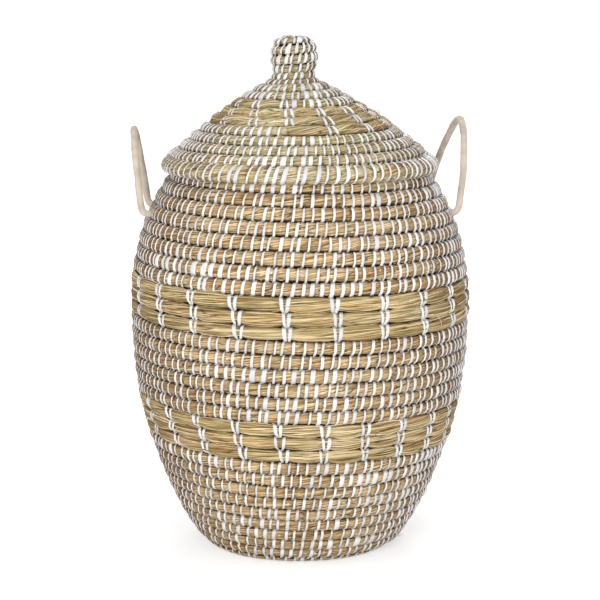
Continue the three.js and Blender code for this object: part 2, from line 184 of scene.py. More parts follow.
@dataclass
class MeshData:
    """A mesh as arrays: vertices, faces of one or more sizes, and a value for each corner or vertex."""

    vertices: Array
    faces: list[Array]
    corner_uvs: list[Array]
    attributes: dict[str, Array] = field(default_factory=dict)

    def facing_out(self) -> "MeshData":
        """Reverses the faces if the volume they close, summed over corner products, is negative."""
        quads = self.vertices[self.faces[0]]
        first = np.einsum("ij,ij->i", quads[:, 0], np.cross(quads[:, 1], quads[:, 2]))
        second = np.einsum("ij,ij->i", quads[:, 0], np.cross(quads[:, 2], quads[:, 3]))
        if (first + second).sum() < 0:
            self.faces = [face[:, ::-1] for face in self.faces]
            self.corner_uvs = [uv[:, ::-1] for uv in self.corner_uvs]
        return self

    def build(self, name: str) -> bpy.types.Object:
        """Makes the mesh an object of the scene.

        Args:
            name: The piece's name.

        Returns:
            The new object, at the origin.
        """
        mesh = bpy.data.meshes.new(name)
        sizes = np.concatenate([np.full(len(face), face.shape[1]) for face in self.faces])
        corners = np.concatenate([face.ravel() for face in self.faces]).astype(np.int32)
        mesh.vertices.add(len(self.vertices))
        mesh.loops.add(len(corners))
        mesh.polygons.add(len(sizes))
        mesh.vertices.foreach_set("co", self.vertices.astype(np.float32).ravel())
        mesh.loops.foreach_set("vertex_index", corners)
        mesh.polygons.foreach_set("loop_start", (np.cumsum(sizes) - sizes).astype(np.int32))
        uvs = np.concatenate([uv.reshape(-1, 2) for uv in self.corner_uvs]).astype(np.float32)
        mesh.uv_layers.new(name=STRAND_UV).data.foreach_set("uv", uvs.ravel())
        for attribute_name, values in self.attributes.items():
            attribute = mesh.attributes.new(attribute_name, "FLOAT", "POINT")
            attribute.data.foreach_set("value", values.astype(np.float32).ravel())
        mesh.polygons.foreach_set("use_smooth", np.ones(len(sizes), bool))
        mesh.update(calc_edges=True)
        mesh.validate()
        return new_object(name, mesh)


def closed_tubes(points: Array, along: Array, around: Array, attributes: dict[str, Array],
                 looped: bool = False) -> MeshData:
    """Closed tubes, as many as the first axis holds, each with flat ends or closed on itself as a ring.

    Args:
        points: Places, shaped (tubes, stations, sides, 3).
        along: The first UV value of each station, and for rings of the first one again after a whole round,
            shaped (tubes, stations) or (tubes, stations + 1).
        around: The second UV value at each place of ``along``, of each side and of the side after the last.
        attributes: Values for the vertices, each shaped to broadcast to (tubes, stations, sides).
        looped: Whether the last station joins the first.

    Returns:
        The tubes as one mesh, facing outwards.
    """
    tubes, stations, sides = points.shape[:3]
    tube, station, side = np.meshgrid(
        np.arange(tubes), np.arange(stations if looped else stations - 1), np.arange(sides), indexing="ij")
    ring = (tube * stations + station) * sides
    next_ring = (tube * stations + (station + 1) % stations) * sides
    further = (side + 1) % sides
    walls = np.stack([ring + side, next_ring + side, next_ring + further, ring + further], axis=-1)
    starts = (np.arange(0 if looped else tubes) * stations * sides)[:, None] + np.arange(sides)
    ends = starts[:, ::-1] + (stations - 1) * sides
    here, there = along[tube, station], along[tube, station + 1]
    corners = (
        (here, around[tube, station, side]), (there, around[tube, station + 1, side]),
        (there, around[tube, station + 1, side + 1]), (here, around[tube, station, side + 1]))
    wall_uvs = np.stack([np.stack(pair, axis=-1) for pair in corners], axis=-2)
    end_uvs = np.zeros((len(starts), sides, 2))
    spread = {
        name: np.broadcast_to(values, (tubes, stations, sides)).ravel()
        for name, values in attributes.items()}
    return MeshData(
        points.reshape(-1, 3),
        [walls.reshape(-1, 4), starts, ends],
        [wall_uvs.reshape(-1, 4, 2), end_uvs, end_uvs],
        spread,
    ).facing_out()


def add_node(tree: bpy.types.NodeTree, kind: str, inputs: Optional[dict] = None,
             **settings) -> bpy.types.Node:
    """Adds a node with its settings, and its inputs set or linked.

    Args:
        tree: The material's or the world's node tree.
        kind: The node's type name after ShaderNode.
        inputs: Values or output sockets, by the input's name or number.
        **settings: Properties of the node.

    Returns:
        The new node.
    """
    made = tree.nodes.new("ShaderNode" + kind)
    for name, value in settings.items():
        setattr(made, name, value)
    for name, value in (inputs or {}).items():
        if isinstance(value, bpy.types.NodeSocket):
            tree.links.new(value, made.inputs[name])
        else:
            made.inputs[name].default_value = value
    return made


def new_material(name: str) -> tuple[bpy.types.Material, bpy.types.NodeTree]:
    """A new material without nodes.

    Args:
        name: The material's name.

    Returns:
        The material and its node tree.
    """
    made = bpy.data.materials.new(name)
    made.use_nodes = True
    made.node_tree.nodes.clear()
    return made, made.node_tree


def fibre_noise(tree: bpy.types.NodeTree, uv: bpy.types.NodeSocket, length: float,
                width: float) -> bpy.types.NodeSocket:
    """Noise in streaks along the bundle.

    Args:
        tree: The material's node tree.
        uv: The strand UV.
        length: The streaks' length along the bundle, in metres.
        width: Their width round it, in metres.

    Returns:
        The noise, from 0 to 1.
    """
    place = add_node(tree, "Mapping", {"Vector": uv, "Scale": (1 / length, 1 / width, 1.0)}).outputs[0]
    noise = add_node(
        tree, "TexNoise", {"Vector": place, "Scale": 1.0, "Detail": 2.0}, noise_dimensions="2D")
    return noise.outputs[0]


def toned(tree: bpy.types.NodeTree, tone: bpy.types.NodeSocket, streaks: bpy.types.NodeSocket,
          share: float, stops: Sequence[tuple[float, str]]) -> bpy.types.NodeSocket:
    """The colour of a stem or a strip: its own tone, moved up and down by its streaks, picks it from a ramp.

    Args:
        tree: The material's node tree.
        tone: The tone, from 0 to 1.
        streaks: Noise along it, 0.5 in the mean.
        share: How much of the ramp the streaks move over.
        stops: Tones in rising order, each with an sRGB hex colour.

    Returns:
        The colour.
    """
    shifted = add_node(tree, "Math", {0: streaks, 1: share, 2: tone}, operation="MULTIPLY_ADD").outputs[0]
    centred = add_node(tree, "Math", {0: shifted, 1: share / 2}, operation="SUBTRACT").outputs[0]
    ramp = add_node(tree, "ValToRGB", {"Fac": centred})
    elements = ramp.color_ramp.elements
    while len(elements) < len(stops):
        elements.new(1.0)
    for element, (place, colour) in zip(elements, stops):
        element.position = place
        element.color = linear(colour)
    return ramp.outputs[0]


def seen_directly(tree: bpy.types.NodeTree) -> bpy.types.NodeSocket:
    """Tells what the camera sees, also in a mirror or through glass, from the light on the hamper.

    Args:
        tree: The node tree of a material or the world.

    Returns:
        1 for what is seen, 0 for light.
    """
    path = add_node(tree, "LightPath").outputs
    seen = add_node(
        tree, "Math", {0: path["Is Camera Ray"], 1: path["Is Glossy Ray"]}, operation="MAXIMUM").outputs[0]
    through = add_node(tree, "Math", {0: seen, 1: path["Is Transmission Ray"]}, operation="MAXIMUM")
    return through.outputs[0]


@dataclass(frozen=True)
class DryStraw:
    """Dry grass straw, laid in bundles by hand.

    Sun-dried stems split and lie side by side, so the eye sees long thin strands, each of its own tan, gold
    or grey-green, with dark slits between them and a dull, silky shine along them.

    Lengths and widths are in metres along and round the bundle, but those of slits, gaps and stems are shares
    of a strand's or a bunch's own. Depths and shares say how much of one colour covers another.
    """

    name: str
    strands: tuple[tuple[float, str], ...]
    # The crease colour is painted shadow, with some dust, in the slits, the gaps and the seams.
    crease: str = "#1a1006"
    crease_share: float = 0.96
    wash: str = "#c08a4a"
    wash_share: float = 0.4
    wash_range: tuple[float, float] = (0.5, 0.72)
    # The gold is painted shade on the sides and the back, and it darkens the lowest rows.
    gold: str = "#835a22"
    side_shade_share: float = 0.74
    strand_width: float = 1.3 * MM
    strand_length: float = 74 * MM
    bunch_width: float = 3.9 * MM
    bunch_length: float = 50 * MM
    fibre_width: float = 0.42 * MM
    fibre_length: float = 26 * MM
    fibre_share: float = 0.9
    patch_size: float = 60 * MM
    slit_width: float = 0.19
    slit_depth: float = 0.72
    gap_width: float = 0.085
    gap_depth: float = 0.85
    stem_width: float = 0.4
    shine: float = 0.28
    roughness: tuple[float, float] = (0.5, 0.72)
    relief: float = 0.8 * MM
    gap_relief: float = -0.8
    fibre_relief: float = 0.45

    def material(self) -> bpy.types.Material:
        """Builds the straw material from the strand UV map, in metres along and round the bundle."""
        made, tree = new_material(self.name)
        uv = add_node(tree, "UVMap", uv_map=STRAND_UV).outputs["UV"]
        # A stem is long and thin: all patterns are stretched along the bundle.
        strands, bunches = [
            add_node(tree, "Mapping", {"Vector": uv, "Scale": (1 / length, 1 / width, 1.0)}).outputs[0]
            for length, width in (
                (self.strand_length, self.strand_width), (self.bunch_length, self.bunch_width))]
        fibre = fibre_noise(tree, uv, self.fibre_length, self.fibre_width)
        patch = fibre_noise(tree, uv, self.patch_size, self.patch_size / 5)
        cell = add_node(tree, "TexVoronoi", {"Vector": strands, "Scale": 1.0}, voronoi_dimensions="2D")
        edge, bunch = [
            add_node(
                tree, "TexVoronoi", {"Vector": cells, "Scale": 1.0}, voronoi_dimensions="2D",
                feature="DISTANCE_TO_EDGE").outputs["Distance"]
            for cells in (strands, bunches)]
        # Each strand picks its tan, gold or grey-green, and its fibres shift it a little.
        pick = add_node(tree, "SeparateColor", {"Color": cell.outputs["Color"]}).outputs[0]
        colour = toned(tree, pick, fibre, self.fibre_share, self.strands)
        washed = add_node(
            tree, "MapRange",
            {"Value": patch, "From Min": self.wash_range[0], "From Max": self.wash_range[1],
             "To Max": self.wash_share}).outputs[0]
        # Painted shade: gold darkens the sides as seen from the front, less so the back; the lowest rows are
        # darker too.
        side_shade_mask = add_node(tree, "Attribute", attribute_name=PAINTED_SIDE_SHADE).outputs["Fac"]
        golden = add_node(tree, "Math", {0: side_shade_mask, 1: self.side_shade_share}, operation="MULTIPLY").outputs[0]
        # Painted shadow, with some dust, darkens the slits between strands, the gaps between bunches and the
        # crease between two rows.
        fine = add_node(
            tree, "MapRange",
            {"Value": edge, "From Max": self.slit_width, "To Min": self.slit_depth, "To Max": 0.0}).outputs[0]
        wide = add_node(
            tree, "MapRange",
            {"Value": bunch, "From Max": self.gap_width, "To Min": self.gap_depth, "To Max": 0.0}).outputs[0]
        slit = add_node(tree, "Math", {0: fine, 1: wide}, operation="MAXIMUM").outputs[0]
        depth = add_node(tree, "Attribute", attribute_name=DEPTH).outputs["Fac"]
        deep = add_node(tree, "Math", {0: depth, 1: self.crease_share}, operation="MULTIPLY").outputs[0]
        layers = ((golden, self.gold), (washed, self.wash), (slit, self.crease), (deep, self.crease))
        for share, layer in layers:
            colour = add_node(
                tree, "Mix", {"Factor": share, "A": colour, "B": linear(layer)},
                data_type="RGBA").outputs["Result"]
        rough = add_node(
            tree, "MapRange",
            {"Value": pick, "To Min": self.roughness[0], "To Max": self.roughness[1]}).outputs[0]
        height = add_node(
            tree, "MapRange", {"Value": edge, "From Max": self.stem_width},
            interpolation_type="SMOOTHSTEP").outputs[0]
        for part, share in ((wide, self.gap_relief), (fibre, self.fibre_relief)):
            height = add_node(
                tree, "Math", {0: part, 1: share, 2: height}, operation="MULTIPLY_ADD").outputs[0]
        bump = add_node(tree, "Bump", {"Strength": 0.9, "Distance": self.relief, "Height": height})
        # The painted shadow and dust in the slits and creases have no shine.
        dull = add_node(tree, "Math", {0: slit, 1: deep}, operation="MAXIMUM").outputs[0]
        shine = add_node(tree, "MapRange", {"Value": dull, "To Min": self.shine, "To Max": 0.0}).outputs[0]
        shader = add_node(
            tree, "BsdfPrincipled",
            {"Base Color": colour, "Roughness": rough, "IOR": 1.45,
             "Specular IOR Level": shine, "Normal": bump.outputs[0]})
        add_node(tree, "OutputMaterial", {"Surface": shader.outputs[0]})
        return made


@dataclass(frozen=True)
class StrawBlade:
    """Single stems and leaf blades of the same straw that lie loose on a bundle.

    Each has one tone from base to tip, fine fibres along it, and a silky shine on its rounded back.
    """

    name: str
    tones: tuple[tuple[float, str], ...]
    fibre_width: float = 0.35 * MM
    fibre_length: float = 24 * MM
    fibre_share: float = 0.45
    relief: float = 0.25 * MM

    def material(self) -> bpy.types.Material:
        """Builds the blade material: the blade's tone picks its colour, and its fibres vary it a little."""
        made, tree = new_material(self.name)
        uv = add_node(tree, "UVMap", uv_map=STRAND_UV).outputs["UV"]
        fibre = fibre_noise(tree, uv, self.fibre_length, self.fibre_width)
        tone = add_node(tree, "Attribute", attribute_name=TONE).outputs["Fac"]
        colour = toned(tree, tone, fibre, self.fibre_share, self.tones)
        bump = add_node(tree, "Bump", {"Strength": 0.6, "Distance": self.relief, "Height": fibre})
        shader = add_node(
            tree, "BsdfPrincipled",
            {"Base Color": colour, "Roughness": 0.5, "IOR": 1.45, "Specular IOR Level": 0.3,
             "Normal": bump.outputs[0]})
        add_node(tree, "OutputMaterial", {"Surface": shader.outputs[0]})
        return made


@dataclass(frozen=True)
class WhiteStrip:
    """White plastic strip, slit from sheet and used as sewing thread.

    It is thin and flat, with faint creases along it where it was pulled through the straw, and a soft sheen.
    Its ends are painted dark grey-brown where they dive into the seams, as shade and dust.
    """

    name: str = "slit white plastic strip"
    colours: tuple[tuple[float, str], ...] = ((0.0, "#c7c9cc"), (0.5, "#d9dadb"), (1.0, "#e5e5e5"))
    # The dust colour is painted shade and dust at the strip's ends.
    dust: str = "#4a3b28"
    dust_and_shade_share: float = 0.8
    crease_width: float = 0.9 * MM
    crease_length: float = 14 * MM
    crease_share: float = 0.5
    relief: float = 0.3 * MM

    def material(self) -> bpy.types.Material:
        """Builds the strip material: its tone is its own, and its creases run along it."""
        made, tree = new_material(self.name)
        uv = add_node(tree, "UVMap", uv_map=STRAND_UV).outputs["UV"]
        crease = fibre_noise(tree, uv, self.crease_length, self.crease_width)
        tone = add_node(tree, "Attribute", attribute_name=TONE).outputs["Fac"]
        bare_colour = toned(tree, tone, crease, self.crease_share, self.colours)
        # Painted shade and dust darken the strip's ends, where they dive into the seams.
        depth = add_node(tree, "Attribute", attribute_name=DEPTH).outputs["Fac"]
        dust_and_shade = add_node(tree, "Math", {0: depth, 1: self.dust_and_shade_share}, operation="MULTIPLY").outputs[0]
        colour = add_node(
            tree, "Mix", {"Factor": dust_and_shade, "A": bare_colour, "B": linear(self.dust)}, data_type="RGBA")
        bump = add_node(tree, "Bump", {"Strength": 0.5, "Distance": self.relief, "Height": crease})
        shader = add_node(
            tree, "BsdfPrincipled",
            {"Base Color": colour.outputs["Result"], "Roughness": 0.48, "IOR": 1.49,
             "Normal": bump.outputs[0]})
        add_node(tree, "OutputMaterial", {"Surface": shader.outputs[0]})
        return made


@dataclass(frozen=True)
class CottonRope:
    """Off-white cotton rope, braided and soft.

    Fine plaits cross at a slant all round it, and loose fibres give it a dull, slightly hairy edge.
    """

    name: str = "braided cotton rope"
    light: str = "#d0c3b3"
    dark: str = "#948475"
    plait: float = 2.6 * MM
    plait_slope: float = math.radians(38)
    fuzz_scale: float = 900.0
    stain_scale: float = 60.0
    relief: float = 0.35 * MM

    def material(self) -> bpy.types.Material:
        """Builds the rope material: two sets of slanting plaits over the strand UV map, and fine fibre."""
        made, tree = new_material(self.name)
        uv = add_node(tree, "UVMap", uv_map=STRAND_UV).outputs["UV"]
        waves = []
        for slant in (1.0, -1.0):
            turned = add_node(
                tree, "Mapping",
                {"Vector": uv, "Rotation": (0.0, 0.0, slant * self.plait_slope), "Scale": (1.0, 1.0, 1.0)})
            wave = add_node(
                tree, "TexWave",
                {"Vector": turned.outputs[0], "Scale": 1 / (self.plait * 2.0), "Distortion": 0.0},
                wave_profile="SIN")
            waves.append(wave.outputs["Fac"])
        plaits = add_node(tree, "Math", {0: waves[0], 1: waves[1]}, operation="MAXIMUM").outputs[0]
        place = add_node(tree, "TexCoord").outputs["Object"]
        fuzz, stain = [
            add_node(tree, "TexNoise", {"Vector": place, "Scale": scale, "Detail": detail}).outputs[0]
            for scale, detail in ((self.fuzz_scale, 3.0), (self.stain_scale, 2.0))]
        # The grooves between plaits are painted the dark colour, as shade; slow stains vary it too.
        level = add_node(tree, "Math", {0: plaits, 1: 0.5, 2: stain}, operation="MULTIPLY_ADD").outputs[0]
        share = add_node(tree, "MapRange", {"Value": level, "From Min": 0.35, "From Max": 1.0}).outputs[0]
        colour = add_node(
            tree, "Mix", {"Factor": share, "A": linear(self.dark), "B": linear(self.light)}, data_type="RGBA")
        height = add_node(tree, "Math", {0: fuzz, 1: 0.6, 2: plaits}, operation="MULTIPLY_ADD").outputs[0]
        bump = add_node(tree, "Bump", {"Strength": 0.7, "Distance": self.relief, "Height": height})
        shader = add_node(
            tree, "BsdfPrincipled",
            {"Base Color": colour.outputs["Result"], "Roughness": 0.92, "IOR": 1.45, "Sheen Weight": 0.3,
             "Sheen Roughness": 0.5, "Normal": bump.outputs[0]})
        add_node(tree, "OutputMaterial", {"Surface": shader.outputs[0]})
        return made


ROW_STRAW = DryStraw(
    "dry straw, golden",
    (
        (0.0, "#805e2f"), (0.18, "#cda469"), (0.4, "#f4cf99"), (0.68, "#f8deb0"), (0.86, "#f9e8c3"),
        (1.0, "#e6b05a")),
)
LID_STRAW = DryStraw(
    "dry straw, pale",
    (
        (0.0, "#866f39"), (0.18, "#c9b57a"), (0.4, "#eedca9"), (0.68, "#f6e7b9"), (0.86, "#f9eecf"),
        (1.0, "#e5b25c")),
    side_shade_share=0.6,
)
BAND_STRAW = DryStraw(
    "dry straw, greenish",
    (
        (0.0, "#6b5325"), (0.2, "#b19559"), (0.42, "#dcc089"), (0.68, "#e9d09c"), (0.86, "#f2e2bb"),
        (1.0, "#daa451")),
    wash_share=0.3,
    side_shade_share=0.6,
    strand_length=95 * MM,
    bunch_width=4.2 * MM,
    bunch_length=90 * MM,
)
GOLDEN_BLADE = StrawBlade(
    "loose straw, golden",
    ((0.0, "#86653a"), (0.3, "#c9a670"), (0.6, "#e3ca9b"), (0.85, "#f4e6c4"), (1.0, "#dba451")),
)
PALE_BLADE = StrawBlade(
    "loose straw, pale",
    ((0.0, "#806d40"), (0.3, "#c0aa74"), (0.6, "#dcc899"), (0.85, "#f1e6c6"), (1.0, "#d5a259")),
)


class Palette:
    """The hamper's finishes, each made a material once."""

    def __init__(self) -> None:
        """Makes the materials."""
        self.straw = ROW_STRAW.material()
        self.lid_straw = LID_STRAW.material()
        self.band_straw = BAND_STRAW.material()
        self.golden_blade = GOLDEN_BLADE.material()
        self.pale_blade = PALE_BLADE.material()
        self.strip = WhiteStrip().material()
        self.rope = CottonRope().material()


def dress(piece: bpy.types.Object, material: bpy.types.Material, body: Body,
          replaced: Sequence[str] = ()) -> None:
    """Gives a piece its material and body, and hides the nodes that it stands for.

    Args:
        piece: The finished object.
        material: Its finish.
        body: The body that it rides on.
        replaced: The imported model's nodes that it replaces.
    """
    piece.data.materials.append(material)
    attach(piece, body.value)
    if replaced:
        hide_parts(*replaced)
    LOG.info("%s: %d faces on %s", piece.name, len(piece.data.polygons), body.value)


class Meridian:
    """The line that the middle of a coiled wall draws in the (radius, height) plane, with its row numbers."""

    def __init__(self, points: Array, rows: Array, outer_side: float) -> None:
        """Keeps the line.

        Args:
            points: Places on the line, shaped (count, 2), close together.
            rows: The row number at each of them.
            outer_side: 1 where the outside lies to the right of the way along the line, -1 to the left.
        """
        self.points = points
        self.rows = rows
        self.outer_side = outer_side

    @classmethod
    def through(cls, stretches: Sequence[tuple[Array, float]], first_row: float,
                outer_side: float) -> "Meridian":
        """A meridian of stretches whose rows share each stretch's length evenly.

        Args:
            stretches: For each stretch its places, shaped (count, 2), and the rows that share it.
            first_row: The row number where the first stretch starts.
            outer_side: As for the meridian.

        Returns:
            The meridian.
        """
        all_points, all_rows = [], []
        row = first_row
        for points, count in stretches:
            lengths = lengths_along(points)
            all_points.append(points)
            all_rows.append(row + count * lengths / lengths[-1])
            row += count
        return cls(np.concatenate(all_points), np.concatenate(all_rows), outer_side)

    def place(self, row: Array) -> Array:
        """The points at row numbers, shaped as the rows with one axis of 2 more."""
        return np.stack([np.interp(row, self.rows, self.points[:, i]) for i in (0, 1)], axis=-1)


@dataclass
class Stitches:
    """Strips sewn over a coil: for each its place along it in metres, its width, how far its top and its foot
    lie from that place, its foot's share of the width, and its tone."""

    metres: Array
    widths: Array
    top_shifts: Array
    foot_shifts: Array
    foot_shares: Array
    tones: Array

    WANDER = 0.45
    JITTER = 0.19
    SAMPLES = 400
    NARROWEST = 2.8 * MM
    WIDER = 1.6 * MM
    PATCH_WIDER = 7.5 * MM
    PATCH_POWER = 2.4
    SLANT_VARIES = 1.6 * MM
    FOOT_SHARE = 0.85

    @classmethod
    def close(cls, random: np.random.Generator, coil: "Coil", first: float, last: float, spacing: float,
              slant: float) -> "Stitches":
        """Close stitches, an even number in each round that starts at the back, so that those at the front
        stand about over those of the row before.

        Gaps vary by a fifth of the spacing, and each round strays from the one before by slow noise. A strip
        is wider than the narrowest by the square of a random share, and in patches by that share times a
        power of slow noise over the wall.

        Args:
            random: The source of the variation.
            coil: The coil that they are sewn on.
            first: The row number where they start.
            last: The row number where they end.
            spacing: The mean distance between them.
            slant: How far a strip's top lies to the right of its foot.

        Returns:
            The stitches.
        """
        steps = np.linspace(first, last, int((last - first) * cls.SAMPLES))
        back = 0.0 if coil.CLOSED else (coil.seam - math.pi) / TURN
        middle = np.floor(steps - back) + back + 0.5
        turn_lengths = coil.metres(middle + 0.5) - coil.metres(middle - 0.5)
        per_turn = np.maximum(2 * np.round(turn_lengths / spacing / 2), 4)
        passed = np.concatenate([[0], np.cumsum((per_turn[1:] + per_turn[:-1]) / 2 * np.diff(steps))])
        start = np.interp(math.ceil(first - back) + back, steps, passed)
        phase = 0.5 if coil.CLOSED else start % 1
        count = int(passed[-1] - phase) + (0 if coil.CLOSED else 1)
        numbers = phase + np.arange(count)
        held = np.minimum(np.minimum(numbers, passed[-1] - numbers) / 3, 1)
        wander = cls.WANDER * smooth_noise(np.interp(numbers, passed, steps), 0 * numbers, 57.0)
        numbers = numbers + held * (wander + cls.JITTER * random.uniform(-1, 1, count))
        rows = np.interp(numbers, passed, steps)
        azimuth = coil.seam - TURN * rows
        patch = 0.5 + 0.5 * smooth_noise(3.2 * np.sin(azimuth / 2 + 0.4), rows / 2.3, 41.0)
        chance = random.random(count)
        widths = (
            cls.NARROWEST + cls.WIDER * chance ** 2 + cls.PATCH_WIDER * patch ** cls.PATCH_POWER * chance)
        slants = slant + cls.SLANT_VARIES * random.uniform(-1, 1, count)
        return cls(
            coil.metres(rows), widths, slants / 2, -slants / 2, np.full(count, cls.FOOT_SHARE),
            random.random(count))

    def near(self, metres: Array, reach: float) -> Array:
        """How near the closest stitch is: the bell curve of its distance over the reach.

        Args:
            metres: Lengths along the coil.
            reach: The distance at which the nearness has fallen to 1 over e.

        Returns:
            The nearness, 1 at a stitch, shaped as the lengths.
        """
        ordered = np.sort(self.metres)
        after = np.clip(np.searchsorted(ordered, metres), 1, len(ordered) - 1)
        distance = np.minimum(np.abs(metres - ordered[after - 1]), np.abs(metres - ordered[after]))
        return np.exp(-(distance / reach) ** 2)


@dataclass(frozen=True)
class BladeStyle:
    """How single straws lie, in metres.

    The lay is the angle over the section, in radians on a metre of the coil, and it varies by the spread's
    share. The back is how far a straw's middle stands over its sides. The rise is how far its tip stands off.
    """

    length: float
    width: float
    height: float
    lay: float
    stations: int
    rise: float = 0.0
    spread: float = 0.5
    back: float = 0.45 * MM


LYING = BladeStyle(length=55 * MM, width=1.05 * MM, height=0.35 * MM, lay=18.0, stations=12)
TWISTED = BladeStyle(length=48 * MM, width=1.1 * MM, height=0.4 * MM, lay=17.0, stations=12)
BAND = BladeStyle(length=105 * MM, width=0.95 * MM, height=0.6 * MM, lay=5.0, stations=17, spread=1.2)
STRAY = BladeStyle(
    length=13 * MM, width=0.55 * MM, height=0.4 * MM, lay=10.0, stations=6, rise=4.5 * MM, spread=60.0,
    back=0.54 * MM)


@dataclass(frozen=True)
class Packing:
    """How firmly the sewing packs a zone's straw, in metres.

    Each strip presses the bundle in by the depth over the reach, the bundle stands out by the rise between
    them, and its stems' ridges have a height. Its straws slope by a share of the zone's grain. Strips hold
    loose straws down over the hold, and no loose straw starts within the margin's share of half a turn from
    a seam.
    """

    depth: float
    reach: float
    ridge: float
    rise: float
    slope: float
    hold: float
    margin: float


FIRM = Packing(
    depth=0.8 * MM, reach=2.6 * MM, ridge=0.35 * MM, rise=0.1 * MM, slope=1.0, hold=2.2 * MM, margin=0.12)
SLACK = Packing(
    depth=2.0 * MM, reach=10.0 * MM, ridge=0.6 * MM, rise=0.9 * MM, slope=0.4, hold=9 * MM, margin=0.15)


@dataclass
class Handwork:
    """What the maker's hands left in a coil, all in metres along the wall or out of it."""

    tilt: Callable[[Array], Array] = np.zeros_like
    shift: Callable[[Array], Array] = np.zeros_like
    wander: float = 0.45 * MM
    wander_length: float = 70 * MM
    swell: float = 0.5 * MM
    swell_length: float = 45 * MM


